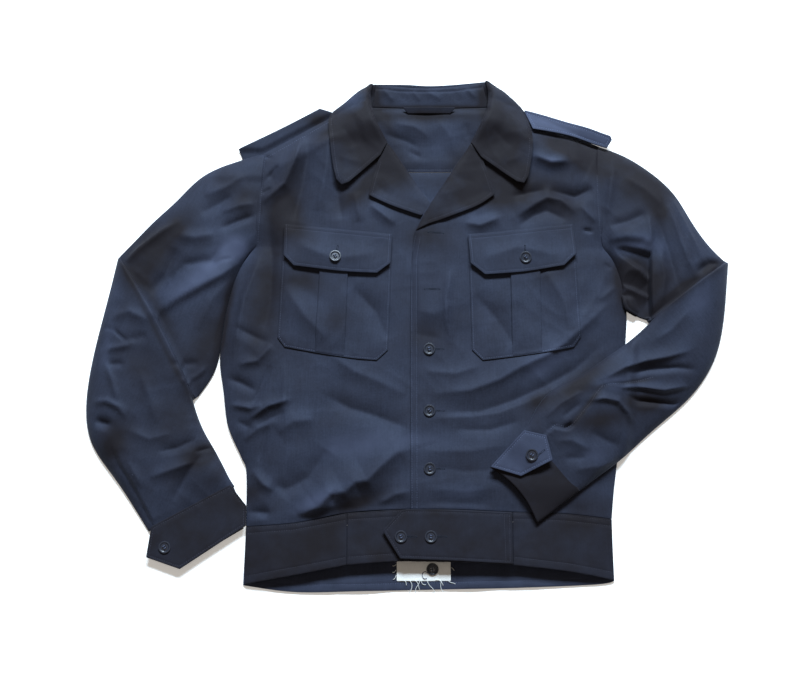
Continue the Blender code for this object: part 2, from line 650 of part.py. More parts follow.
def build_sleeves():
    """Both sleeves folded at the elbow, their cuffs and the pointed, buttoned cuff ends."""
    tube("sleeve_right", SLEEVE_RIGHT, back_lift, CLOTH)
    tube("cuff_right", CUFF_RIGHT, back_lift, LINED)
    on_cuff = quilted(lambda x, y: 6.4)
    sheet("cuff_tab_right", outline(CUFF_TAB_RIGHT), on_cuff, LINED, DOUBLE)
    button("button_cuff_right", -292, -260, raised(on_cuff, DOUBLE))

    def under_forearm(x, y):
        return over_left_front(x, y) if y < 60 and x < 300 else 0.0

    tube("sleeve_left", SLEEVE_LEFT, under_forearm, CLOTH)
    tube("cuff_left", CUFF_LEFT, over_left_front, LINED)

    def over_cuff(x, y):
        towards_arm = ease((x + y + 34) / 40)
        return lap_rise(x, y) + WALL + TUCK + CUFF_THICK + SLEEVE_END_THICK * towards_arm

    on_cuff = quilted(over_cuff)
    sheet("cuff_tab_left", outline(CUFF_TAB_LEFT), on_cuff, LINED, DOUBLE)
    button("button_cuff_left", 151, -151, raised(on_cuff, DOUBLE))


def build_label():
    """A blank label with a spare button, inside the back of the waistband."""
    on_band = DOUBLE - 0.3 + GAP
    rows = [(-12, -256, CORNER), (53, -256, CORNER), (53, -300, CORNER), (-12, -300, CORNER)]
    sheet("label", outline(rows), lambda x, y: on_band, (LABEL_WHITE, 0.8), 0.6)
    button("button_spare", 31, -286, lambda x, y: on_band + 0.6)


def build_jacket():
    """The whole jacket."""
    for leftover in list(bpy.data.objects):
        bpy.data.objects.remove(leftover, do_unlink=True)
    build_back()
    build_fronts()
    build_waistband()
    build_pockets()
    build_front_buttons()
    build_lapels()
    build_collar()
    build_epaulettes()
    build_sleeves()
    build_label()


build_jacket()
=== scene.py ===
"""Military windbreaker jacket, laid flat on its back with the front up.

A Blender add-on that is run as a script. The tables hold the laid jacket's own sizes in
millimetres: +X is the wearer's left, +Y points from the hem to the collar and +Z is up. Every
cloth piece is a thin closed wall, laid over what is under it, with its creases listed.
"""
import math

import bmesh
import bpy
import numpy as np
from mathutils import Euler, Matrix, Vector
from mathutils.bvhtree import BVHTree
from mathutils.geometry import delaunay_2d_cdt


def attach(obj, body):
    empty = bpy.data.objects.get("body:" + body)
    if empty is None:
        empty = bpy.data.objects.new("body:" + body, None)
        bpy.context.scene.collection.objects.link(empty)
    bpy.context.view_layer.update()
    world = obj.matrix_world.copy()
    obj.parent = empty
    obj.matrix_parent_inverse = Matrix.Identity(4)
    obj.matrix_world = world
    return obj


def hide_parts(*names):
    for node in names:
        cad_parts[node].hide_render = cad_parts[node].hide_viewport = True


bl_info = {
    "name": "Windbreaker Jacket",
    "version": (1, 0, 0),
    "blender": (4, 5, 0),
    "location": "3D View > Sidebar > Jacket",
    "description": "Lays a military windbreaker jacket in woven cloth over its packed model",
    "category": "Add Mesh",
}

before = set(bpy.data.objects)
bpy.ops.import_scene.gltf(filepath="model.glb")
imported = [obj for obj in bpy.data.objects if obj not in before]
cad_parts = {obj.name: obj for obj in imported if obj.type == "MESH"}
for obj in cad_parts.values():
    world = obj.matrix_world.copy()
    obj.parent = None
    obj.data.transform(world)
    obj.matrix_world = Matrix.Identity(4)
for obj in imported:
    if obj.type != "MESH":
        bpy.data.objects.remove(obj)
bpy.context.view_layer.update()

MM = 0.001
LAID_CENTRE = (5.5, 14.3)
CORNER = True
ROUND = False

# ---------------------------------------------------------------- sizes and colours


class JacketSizes(bpy.types.PropertyGroup):
    """Sizes a maker would change"""
    wall: bpy.props.FloatProperty(
        name="Cloth", description="One panel with its turnings, mm", default=1.4, min=0.8, max=3)
    double: bpy.props.FloatProperty(
        name="Doubled cloth", description="Collar, lapels, waistband and tabs, mm",
        default=1.8, min=1, max=4)
    mesh: bpy.props.FloatProperty(
        name="Mesh", description="Spacing of the points in creased cloth, mm",
        default=2.3, min=2, max=10)
    stitch: bpy.props.FloatProperty(
        name="Stitch", description="Length from one stitch to the next, mm",
        default=2.9, min=1, max=6)
    weave: bpy.props.FloatProperty(
        name="Weave", description="From one thread of the weave to the next, mm",
        default=0.62, min=0.2, max=3)
    button: bpy.props.FloatProperty(
        name="Button radius", description="Radius of the buttons, mm", default=7.5, min=4, max=14)


class JacketColours(bpy.types.PropertyGroup):
    """Colours of the cloth, thread and buttons"""
    cloth: bpy.props.FloatVectorProperty(
        name="Cloth", description="Navy shell cloth", subtype="COLOR",
        default=(0.0233, 0.0263, 0.0425), min=0, max=1)
    thread: bpy.props.FloatVectorProperty(
        name="Thread", description="Sewing thread", subtype="COLOR",
        default=(0.085, 0.100, 0.160), min=0, max=1)
    button: bpy.props.FloatVectorProperty(
        name="Buttons", description="Dark blue buttons", subtype="COLOR",
        default=(0.010, 0.012, 0.020), min=0, max=1)
    label: bpy.props.FloatVectorProperty(
        name="Label", description="Blank woven label", subtype="COLOR",
        default=(0.93, 0.93, 0.91), min=0, max=1)


def sizes():
    """The sizes a maker would change."""
    return bpy.context.scene.jacket_sizes


def colours():
    """The colours a maker would change."""
    return bpy.context.scene.jacket_colours


# ---------------------------------------------------------------- edges of the body: x, y

ARMHOLE_RIGHT = [(-185, 240), (-188, 190), (-190, 150), (-192, 117)]
ARMHOLE_LEFT = [(250, 250), (247, 210), (247, 170), (249, 135), (255, 112)]
SIDE_RIGHT = [(-192, 117), (-212, 85), (-224, 42), (-231, -6), (-232, -34), (-227, -67),
              (-220, -112), (-203, -150), (-196, -170), (-195, -235)]
SIDE_LEFT = [(255, 112), (266, 94), (274, 68), (276, 31), (273, -10), (266, -79),
             (260, -141), (253, -190), (249, -226)]
SHOULDER_RIGHT = [(-185, 240), (-101, 287), (-46, 313)]
SHOULDER_LEFT = [(108, 313), (160, 291), (250, 250)]
NECK_SEAM = [(-44, 304), (29, 302), (105, 304)]
YOKE_SEAM_Y = 217.0
WAIST_SEAM = [(-195, -235), (-135, -231), (-71, -219), (-8, -215), (58, -215), (127, -218),
              (191, -220), (249, -226)]
FRONT_HEM = [(-197, -304), (-134, -293), (-71, -281), (-11, -277), (58, -278), (126, -281),
             (196, -289), (250, -299)]
BACK_HEM = [(-197, -305), (-134, -313), (-55, -312), (39, -310), (133, -308), (228, -304),
            (250, -300)]
ROLL_RIGHT = [(-44, 301), (-37, 277), (-26, 255), (-13, 237), (2, 213), (15, 193), (31, 172)]
ROLL_LEFT = [(104, 299), (90, 265), (78, 243), (63, 221), (48, 196), (31, 171), (20, 153),
             (10, 132)]
PLACKET_X = 5.0
UNDERLAP_X = 46.0

# How the jacket lies
GAP = 0.3
LOFT = 13.0            # the fronts above the back
SIDE_RISE = 28.0
SHOULDER_RISE = 34.0
UNDERARM_Y = 112.0     # above this the fronts run on into the sleeves
ARMHOLE_FULL = 45.0
WAIST_PULL = 3.0       # the waistband holds the fronts down
WAIST_FADE = 35.0
NECK_LIFT = 4.0
NECK_LIFT_FROM = 246.0
NECK_LIFT_TO = 280.0
STRAP_LIFT = 2.0
STRAP_TUCK = 30.0
LAP = 2.0              # the left front over the right one
LAP_BUTTONS = 3.2      # and how much more over the buttons that are undone
LAP_TO = 52.0
LAP_FADE = 60.0
TUCK = 2.2

# ---------------------------------------------------------------- lines and outlines


def spline_value(before, start, end, after, t):
    """A Catmull-Rom curve's value between start and end."""
    return 0.5 * (2 * start + (end - before) * t
                  + (2 * before - 5 * start + 4 * end - after) * t ** 2
                  + (3 * start - before - 3 * end + after) * t ** 3)


def smooth_line(points, step=4.0):
    """Points along a smooth curve through the given ones, ends included."""
    points = np.asarray(points, float)
    last = len(points) - 1
    line = []
    for i in range(last):
        before, start, end = points[max(i - 1, 0)], points[i], points[i + 1]
        after = points[min(i + 2, last)]
        count = max(1, round(math.dist(start, end) / step))
        line += [spline_value(before, start, end, after, k / count) for k in range(count)]
    line.append(points[-1])
    return np.array(line)


def straight(points, step):
    """The points of a chain of straight lines, about one step apart."""
    points = np.asarray(points, float)
    line = []
    for start, end in zip(points, points[1:]):
        count = max(1, round(math.dist(start, end) / step))
        line += [start + (end - start) * k / count for k in range(count)]
    line.append(points[-1])
    return np.array(line)


def outline(rows, step=4.0):
    """A closed outline from rows of x, y and whether the row is a corner."""
    first = next(i for i, row in enumerate(rows) if row[2])
    turned = list(rows[first:]) + list(rows[:first + 1])
    line, run = [], [turned[0][:2]]
    for row in turned[1:]:
        run.append(row[:2])
        if row[2]:
            stretch = smooth_line(run, step) if len(run) > 2 else straight(run, step)
            line += list(stretch[:-1])
            run = [row[:2]]
    return np.array(line)


def corners(points):
    """Rows for an outline: the ends are corners, the points between are round."""
    last = len(points) - 1
    return [(x, y, CORNER if k in (0, last) else ROUND) for k, (x, y) in enumerate(points)]


def clipped(line, low_x, high_x):
    """The stretch of a left-to-right line between two x values, ends included."""
    inside = [tuple(p) for p in line if low_x < p[0] < high_x]
    return [(low_x, float(across(line, low_x)))] + inside + [(high_x, float(across(line, high_x)))]


def across(line, x):
    """A line's y at x, for a line that runs from left to right."""
    line = np.asarray(line, float)
    return np.interp(x, line[:, 0], line[:, 1])


def down(line, y):
    """A line's x at y, for a line that runs downwards."""
    return np.interp(-np.asarray(y, float), -line[:, 1], line[:, 0])


def shifted(points, dx, dy):
    """The points moved by dx and dy."""
    return [(x + dx, y + dy) for x, y in points]


def unit(steps):
    """Steps in x and y, each made one long."""
    return steps / np.maximum(np.hypot(*steps.T), 1e-9)[:, None]


def lengths_along(points):
    """How far along a line each of its points is, from 0."""
    return np.concatenate([[0], np.cumsum(np.hypot(*(points[1:] - points[:-1]).T))])


def inset_line(points, by, closed=False):
    """The line moved sideways to its left by a distance, with its corners kept."""
    points = np.asarray(points, float)
    ahead = np.roll(points, -1, axis=0) - points
    if not closed:
        ahead[-1] = ahead[-2]
    ahead = unit(ahead)
    behind = np.roll(ahead, 1, axis=0)
    if not closed:
        behind[0] = ahead[0]
    normal = np.stack([-(ahead + behind)[:, 1], (ahead + behind)[:, 0]], axis=1)
    length = np.maximum(np.hypot(*normal.T), 0.3)
    normal /= length[:, None]
    return points + normal * (2.0 * by / length)[:, None]


def ccw(points):
    """The outline turned so that it runs anticlockwise."""
    x, y = points[:, 0], points[:, 1]
    area = np.sum(x * np.roll(y, -1) - np.roll(x, -1) * y)
    return points if area > 0 else points[::-1]


def ease(t):
    """A smooth step from 0 to 1."""
    t = np.clip(t, 0.0, 1.0)
    return t * t * (3 - 2 * t)


def line_distance(x, y, line):
    """Distance to a line, the side it is on (+1 left), and how far along it, from 0 to 1."""
    line = np.asarray(line, float)
    best = np.full(np.shape(x), 1e9)
    side = np.ones(np.shape(x))
    along = np.zeros(np.shape(x))
    lengths = np.hypot(*(line[1:] - line[:-1]).T)
    total = max(lengths.sum(), 1e-9)
    passed = 0.0
    for (x0, y0), (x1, y1), length in zip(line[:-1], line[1:], lengths):
        dx, dy = (x1 - x0) / max(length, 1e-9), (y1 - y0) / max(length, 1e-9)
        t = np.clip((x - x0) * dx + (y - y0) * dy, 0, length)
        ex, ey = x - x0 - t * dx, y - y0 - t * dy
        far = np.hypot(ex, ey)
        near = far < best
        best = np.where(near, far, best)
        side = np.where(near, np.where(dx * ey - dy * ex >= 0, 1.0, -1.0), side)
        along = np.where(near, (passed + t) / total, along)
        passed += length
    return best, side, along


def inside_of(x, y, edge):
    """Whether each point is inside a closed outline."""
    found = np.zeros(np.shape(x), bool)
    x0, y0 = edge[:, 0], edge[:, 1]
    x1, y1 = np.roll(x0, -1), np.roll(y0, -1)
    for ax, ay, bx, by in zip(x0, y0, x1, y1):
        if ay == by:
            continue
        crosses = (ay > y) != (by > y)
        found ^= crosses & (x < ax + (y - ay) * (bx - ax) / (by - ay))
    return found


# ---------------------------------------------------------------- how high the cloth lies

RIGHT_EDGE = np.vstack([smooth_line(ARMHOLE_RIGHT), smooth_line(SIDE_RIGHT)[1:], [(-197, -305)]])
LEFT_EDGE = np.vstack([smooth_line(ARMHOLE_LEFT), smooth_line(SIDE_LEFT)[1:], [(250, -300)]])


def shoulder_drop(x, y):
    """Distance below the shoulder line, growing from the neck points inwards."""
    right = across(SHOULDER_RIGHT, x) - y
    left = across(SHOULDER_LEFT, x) - y
    middle = 313 - y + 1.2 * np.minimum(x + 46, 108 - x)
    return np.where(x < -46, right, np.where(x > 108, left, middle))


def back_lift(x, y):
    """Height of the back's underside over the folded collar and the slipped shoulder strap."""
    over_collar = NECK_LIFT * ease((y - NECK_LIFT_FROM) / (NECK_LIFT_TO - NECK_LIFT_FROM))
    beside = ease((x + 250) / 20) * ease((-60 - x) / 20)
    over_strap = STRAP_LIFT * beside * ease((STRAP_TUCK + 12 - shoulder_drop(x, y)) / 12)
    return np.maximum(over_collar, over_strap)


def side_inset(x, y):
    """Distance in from the nearer side, where the armholes count as far inside."""
    inset = np.minimum(x - down(RIGHT_EDGE, y), down(LEFT_EDGE, y) - x)
    return np.maximum(inset, 0) + ARMHOLE_FULL * ease((y - UNDERARM_Y) / 45)


def fullness(x, y):
    """How full the fronts are: 0 at side seams and shoulders, 1 in the middle."""
    drop = np.maximum(shoulder_drop(x, y), 0)
    return (1 - np.exp(-side_inset(x, y) / SIDE_RISE)) * (1 - np.exp(-drop / SHOULDER_RISE))


# Creases. Columns: the line along it (x, y); half its width; its height, or depth if below
# zero; and how much wider it is on the left of its line than on the right
BODY_CREASES = [
    # right front: under the arm and down the side
    (((-185, 103), (-193, 77), (-204, 45), (-210, 7), (-216, -25)), 8, 5, 0),
    (((-175, 156), (-169, 97), (-170, 45), (-177, 1)), 13, -5, 0),
    (((-214, 12), (-194, 2), (-172, -9)), 8, -3.2, 0),
    (((-208, -36), (-184, -32), (-167, -12)), 7, 4.5, 0),
    (((-222, -52), (-204, -59), (-186, -69)), 7, -4, 0),
    (((-217, -86), (-192, -91), (-177, -87)), 5, 4.5, 0),
    (((-209, -106), (-190, -116)), 6, -2.5, 0),
    (((-190, -91), (-178, -62), (-169, -37)), 6, -3, 0),
    (((-192, -104), (-170, -89), (-143, -81)), 6, 5.5, 0.2),
    (((-184, -114), (-167, -104), (-149, -95)), 7, -3.5, 0),
    (((-200, -131), (-182, -116), (-160, -106)), 6, 3, 0),
    (((-181, -158), (-170, -113)), 7, -3, 0),
    (((-190, -167), (-175, -184), (-162, -192)), 8, 5, 0),
    (((-195, -217), (-165, -219)), 7, -4.5, 0),
    (((-195, -229), (-167, -229)), 4, 2, 0),
    (((-158, -122), (-138, -108), (-112, -106)), 16, 4.5, 0),
    (((-166, -184), (-146, -190), (-118, -176), (-98, -142)), 19, -7, 0),
    (((-151, -37), (-149, -106)), 7, 2, 0),
    # the right front blouses over the waistband
    (((-132, -224), (-107, -213), (-92, -197), (-75, -195), (-63, -183), (-48, -181), (-33, -165),
      (-13, -148), (3, -143)), 21, 12, 0.25),
    (((-34, -208), (-14, -197), (3, -194)), 7, 3, 0),
    (((-95, -25), (-64, -46), (-33, -59), (-1, -75)), 13, 3, 0),
    (((-100, -75), (-69, -91), (-39, -100), (-1, -115)), 14, -4.5, 0),
    (((-86, -192), (-92, -210)), 4, -2, 0),
    # right shoulder and chest
    (((-183, 172), (-155, 196), (-141, 229), (-134, 263)), 9, 8.8, 0),
    (((-193, 241), (-171, 233)), 3, -3.2, 0),
    (((-176, 205), (-164, 222)), 3.5, -3.5, 0),
    (((-183, 184), (-172, 192)), 3, -3.2, 0),
    (((-197, 222), (-198, 176)), 4, -3.2, 0),
    (((-124, 252), (-131, 202), (-143, 148)), 13, -6.4, 0),
    (((-98, 262), (-102, 214), (-112, 160)), 14, 5.1, 0),
    (((-90, 200), (-82, 150)), 9, -3.5, 0),
    (((-66, 186), (-58, 146)), 9, 3.2, 0),
    (((-46, 169), (-14, 143)), 8, 4.0, 0),
    # across the pockets
    (((-152, 62), (-128, 26), (-98, -6)), 17, 4.2, 0),
    (((-66, 60), (-38, 30), (-24, -6)), 15, -4.2, 0),
    (((-140, 118), (-90, 96), (-40, 104)), 18, 3.2, 0),
    (((86, 52), (112, 20), (134, -14)), 15, -3.8, 0),
    (((172, 84), (196, 44), (206, 6)), 16, 4.2, 0),
    (((96, 96), (140, 112), (190, 100)), 18, 3.2, 0),
    # left shoulder and chest
    (((160, 234), (184, 224), (209, 226)), 12, 7.2, 0.3),
    (((182, 189), (214, 181), (237, 192)), 9, -6.4, 0),
    (((140, 154), (164, 170), (178, 178), (196, 175), (214, 158)), 9, 4.5, 0.3),
    (((142, 142), (162, 156), (178, 162), (202, 150)), 10, -4.5, 0),
    (((134, 181), (157, 186), (176, 189)), 8, -4.0, 0),
    (((223, 137), (235, 135)), 3, -3.2, 0),
    (((250, 94), (258, 87)), 3, -2.6, 0),
    (((74, 144), (93, 141), (118, 152)), 8, 4.8, 0),
    (((220, 169), (239, 147)), 6, 2.9, 0),
    # beside the placket
    (((56, -6), (50, 13), (49, 45), (55, 81)), 7, 3.5, 0),
    (((11, 31), (34, 26), (58, 38)), 14, 1.8, 0),
    (((10, 2), (41, -4)), 13, -1.7, 0),
    # long folds from the left side down to the placket
    (((35, -74), (78, -70), (115, -56), (140, -41), (171, -27), (196, -11), (228, 18),
      (256, 45)), 13, 5.5, 0.2),
    (((47, -97), (90, -96), (133, -81), (170, -64), (208, -42), (240, -13)), 12, -4.5, 0),
    (((29, -105), (78, -102), (114, -97), (151, -82), (189, -64)), 8, 2.5, 0),
    (((59, -118), (102, -118), (139, -107)), 8, -2.5, 0),
    (((22, -145), (77, -145), (120, -137)), 13, 2.2, 0.2),
    (((22, -162), (71, -169), (113, -167)), 10, -1.5, 0),
    (((22, -190), (71, -194), (113, -189)), 11, 1.6, 0),
    (((28, -208), (101, -210)), 7, -1.4, 0),
    (((23, -46), (60, -49), (91, -39)), 10, 2.5, 0),
    (((241, 45), (264, 65)), 7, 2, 0),
    # the cloth falls away below the shoulders
    (((-172, 208), (-101, 252), (-62, 268)), 32, 7, 0),
    (((122, 268), (160, 254), (232, 218)), 32, 7, 0),
]
SLEEVE_RIGHT_CREASES = [
    # upper arm
    (((-319, 20), (-307, 32), (-285, 47), (-258, 62), (-231, 77), (-210, 95)), 13, 6.5, 0.5),
    (((-327, 46), (-302, 68), (-278, 92), (-244, 97), (-232, 118)), 7, -4, 0),
    (((-288, 129), (-267, 126), (-242, 130)), 9, 4, 0),
    (((-355, 95), (-336, 114), (-311, 134), (-286, 150)), 7, 5, 0),
    (((-323, 56), (-302, 79), (-290, 113)), 10, -5.5, 0),
    (((-250, 87), (-232, 97), (-219, 100)), 2.5, -1.6, 0),
    (((-290, -38), (-258, -33)), 5, -2.5, 0),
    (((-278, -60), (-259, -50), (-248, -39)), 4, 2.5, 0),
    (((-234, 139), (-214, 148), (-192, 157)), 6, -4.5, 0),
    (((-234, 160), (-211, 168), (-192, 171)), 7, 3.5, 0),
    (((-256, 182), (-231, 192), (-206, 208)), 10, 4, 0),
    (((-261, 158), (-243, 168), (-221, 182)), 8, -3, 0),
    (((-262, 7), (-243, 46), (-224, 69)), 9, 2, 0),
    # elbow and forearm
    (((-379, 12), (-366, 9)), 2.2, -1.5, 0),
    (((-366, 9), (-347, -7)), 2.4, -2.6, 0),
    (((-367, 23), (-345, 30), (-321, 18)), 8, 3.5, 0),
    (((-349, -9), (-321, 0)), 6, -2.5, 0),
    (((-372, -18), (-349, -14), (-336, -7)), 5, 3.5, 0),
    (((-369, -36), (-349, -36)), 5, -3, 0),
    (((-355, -81), (-363, -56), (-374, -33)), 5, 2.5, 0),
    (((-385, -83), (-367, -83), (-352, -91), (-344, -103)), 5, 4, 0),
    (((-382, -106), (-361, -112)), 7, -5.5, 0),
    (((-329, -46), (-316, -75), (-305, -112)), 10, 2.2, 0),
    (((-341, -118), (-314, -130), (-287, -123)), 9, 2.5, 0),
    (((-301, -145), (-279, -140), (-257, -128)), 7, -3, 0),
    (((-312, -177), (-285, -167), (-257, -157)), 8, 3.5, 0),
    (((-246, -143), (-264, -167), (-284, -204)), 8, -4, 0),
    (((-257, -145), (-235, -137)), 4, -2.5, 0),
    (((-339, -157), (-321, -189)), 6, 2, 0),
]
SLEEVE_LEFT_CREASES = [
    # upper arm
    (((254, 156), (259, 190), (264, 223)), 7, 3.5, 0),
    (((257, 142), (280, 147), (303, 158)), 7, -4.5, 0),
    (((308, 108), (306, 153)), 4, 2.5, 0),
    (((364, 72), (354, 95), (343, 130), (332, 172)), 7, 4.5, 0),
    (((342, 57), (329, 111), (316, 156)), 8, -4.5, 0),
    (((376, 92), (360, 128), (337, 179)), 5, 2.5, 0),
    (((364, 81), (381, 94), (395, 94)), 6, -4.5, 0),
    (((319, 43), (323, 75), (319, 104)), 5, 2.5, 0),
    (((278, 206), (303, 190), (324, 168)), 9, 2.5, 0),
    # forearm
    (((244, -56), (268, -43), (293, -34), (321, -29), (349, -21)), 8, 5, 0.4),
    (((274, -49), (299, -43), (335, -41), (356, -43)), 5, -4, 0),
    (((263, -68), (285, -66), (316, -70), (347, -64)), 5, 4.5, 0.4),
    (((272, -77), (285, -82), (309, -84), (338, -85)), 5, -5, 0),
    (((224, -85), (241, -82), (258, -85), (270, -98), (276, -112)), 5, 4.5, 0.2),
    (((223, -122), (242, -132), (261, -139)), 10, -3.5, 0),
    (((181, -134), (198, -133), (223, -144)), 8, 2.4, 0),
    (((191, -154), (216, -154)), 8, -2.2, 0),
    (((203, -169), (234, -164), (265, -154)), 10, 2.6, 0),
    (((306, -8), (327, 5), (351, 30)), 12, 2.5, 0),
    (((168, -105), (187, -88), (214, -73)), 6, 2.5, 0),
    (((189, -105), (211, -88)), 5, -2, 0),
]
YOKE_CREASES = [
    (((-28, 268), (2, 258), (16, 250)), 7, -2.2, 0),
    (((-16, 282), (12, 276), (30, 262)), 8, 2.0, 0),
    (((2, 246), (20, 236)), 5, -1.8, 0),
    (((40, 286), (58, 262), (64, 240)), 11, 1.6, 0),
    (((76, 282), (80, 262)), 7, -1.4, 0),
    (((8, 206), (20, 200), (30, 204)), 5, 1.2, 0),
]
STAND_CREASES = [
    (((-30, 328), (-16, 311)), 5, 1.5, 0),
    (((-14, 326), (2, 312)), 3.5, -1.0, 0),
    (((8, 325), (18, 312)), 4, 1.1, 0),
    (((26, 324), (46, 314)), 6, 1.3, 0),
    (((56, 327), (70, 311)), 3.5, -1.1, 0),
    (((78, 328), (90, 316)), 4, 1.3, 0),
]
COLLAR_CREASES = [
    (((-82, 272), (-64, 246)), 9, -1.3, 0),
    (((-74, 300), (-56, 276), (-50, 252)), 10, 1.3, 0),
    (((-86, 232), (-60, 224)), 7, 0.9, 0),
    (((-92, 262), (-88, 222)), 5, -0.7, 0),
    (((118, 304), (136, 282), (148, 258)), 10, 1.4, 0),
    (((110, 270), (134, 244)), 9, -1.3, 0),
    (((126, 224), (148, 232)), 7, 0.9, 0),
    (((104, 252), (116, 226)), 6, 0.8, 0),
    (((-34, 208), (-14, 188)), 9, 1.1, 0),
    (((-40, 196), (-22, 182)), 5, -0.7, 0),
    (((40, 178), (76, 190)), 11, 1.2, 0),
    (((56, 206), (92, 196)), 8, -1.1, 0),
]


def creased(table, x, y):
    """The creases of a table, summed at each point."""
    total = np.zeros(np.shape(x))
    for line, width, rise, lean in table:
        far, side, along = line_distance(x, y, line)
        spread = width * (1 + lean * side)
        fade = 1 - 0.85 * np.abs(2 * along - 1) ** 3
        crest = np.sqrt((far / spread) ** 2 + 0.014) - 0.1183
        total += rise * fade * np.exp(-1.5 * crest - 0.25 * (far / spread) ** 4)
    return total


RIPPLES = [   # faint waves all over. Columns: x and y turns a metre, start, height
    (9.1, 4.3, 0.3, 0.30), (-5.2, 11.3, 1.9, 0.26), (16.0, -7.4, 4.0, 0.18), (6.4, 21.7, 2.6, 0.13),
]
# Faint sharp wrinkles. Columns: direction in degrees, width and length in mm, height, start
WRINKLES = [(62, 26, 90, 1.1, 3.0), (-38, 19, 62, 0.7, 11.0), (12, 14, 50, 0.4, 23.0)]


def grain_noise(x, y, start):
    """Smooth noise from 0 to 1 on a lattice of unit squares."""
    ix, iy = np.floor(x), np.floor(y)
    u, v = x - ix, y - iy
    u, v = u * u * u * (u * (6 * u - 15) + 10), v * v * v * (v * (6 * v - 15) + 10)

    def at(i, j):
        value = np.sin((ix + i) * 127.1 + (iy + j) * 311.7 + start * 74.7) * 43758.5453
        return value - np.floor(value)

    low = at(0, 0) * (1 - u) + at(1, 0) * u
    high = at(0, 1) * (1 - u) + at(1, 1) * u
    return low * (1 - v) + high * v


def rippled(x, y):
    """The faint waves and wrinkles, for cloth that isn't pressed flat."""
    total = np.zeros(np.shape(x))
    for turns_x, turns_y, start, rise in RIPPLES:
        total += rise * np.sin(2 * math.pi * MM * (turns_x * x + turns_y * y) + start)
    for turn, width, length, rise, start in WRINKLES:
        cos, sin = math.cos(math.radians(turn)), math.sin(math.radians(turn))
        bend = 0.5 * grain_noise(x / 70, y / 70, start + 5)
        u = (x * cos + y * sin) / length + bend
        v = (y * cos - x * sin) / width + 2 * bend
        ridge = 1 - np.sqrt((2 * grain_noise(u, v, start) - 1) ** 2 + 0.01)
        patch = ease(2.2 * grain_noise(x / 95, y / 95, start + 9) - 0.6)
        total += rise * patch * (ridge - 0.5)
    return total


def right_top(x, y):
    """Top of the right front, creases included."""
    wall = sizes().wall
    above_waist = y - across(WAIST_SEAM, x)
    full = fullness(x, y)
    held = WAIST_PULL * full * (1 - ease(above_waist / WAIST_FADE))
    drop = np.maximum(shoulder_drop(x, y), 0)
    free = (1 - np.exp(-side_inset(x, y) / 9)) * (1 - np.exp(-drop / 9)) * ease(above_waist / 12)
    creases = creased(BODY_CREASES, x, y) + rippled(x, y)
    level = 2 * wall + GAP + back_lift(x, y) + LOFT * full - held
    return np.maximum(level + free * creases, back_lift(x, y) + 2 * wall + GAP)


def lap(x, y):
    """How much the left front lies above the right one."""
    over_buttons = LAP_BUTTONS * ease((x - PLACKET_X) / 13) * ease((y - 2) / 48)
    return (LAP + over_buttons) * (1 - ease((x - LAP_TO) / LAP_FADE))


def left_top(x, y):
    """Top of the left front."""
    return right_top(x, y) + lap(x, y)


# ---------------------------------------------------------------- meshes


def link_new(name, data):
    """A new object in the scene."""
    thing = bpy.data.objects.new(name, data)
    bpy.context.collection.objects.link(thing)
    return thing


def placed(x, y, z):
    """A point of the pattern, in the frame's metres; z is in millimetres."""
    return Vector(((x - LAID_CENTRE[0]) * MM, (y - LAID_CENTRE[1]) * MM, z * MM))


def add_piece(name, points, faces, finish, nodes):
    """A piece from points in millimetres, with its finish, riding on the jacket's body."""
    mesh = bpy.data.meshes.new(name)
    place = (np.asarray(points, float) - (*LAID_CENTRE, 0.0)) * MM
    mesh.from_pydata(place.tolist(), [], faces)
    mesh.validate()
    mesh.shade_smooth()
    mesh.materials.append(finish)
    return settle(link_new(name, mesh), nodes)


def settle(piece, nodes):
    """Join a finished piece to the frame."""
    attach(piece, "root")
    if nodes:
        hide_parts(*nodes)
    return piece


def edge_of(line, closed_step):
    """The outline cut into even steps, corners kept."""
    points = []
    for start, end in zip(line, np.roll(line, -1, axis=0)):
        count = max(1, round(math.dist(start, end) / closed_step))
        points += [start + (end - start) * k / count for k in range(count)]
    return np.array(points)


RIM = 0.45           # how far a wall's edge is rounded off
COARSE = 6           # cloth with its points further apart than this has no rows for its grooves
GROOVE_SIDE = 1.3    # rows of points run this far on each side of a groove
GROOVE_WIDTH = 0.95


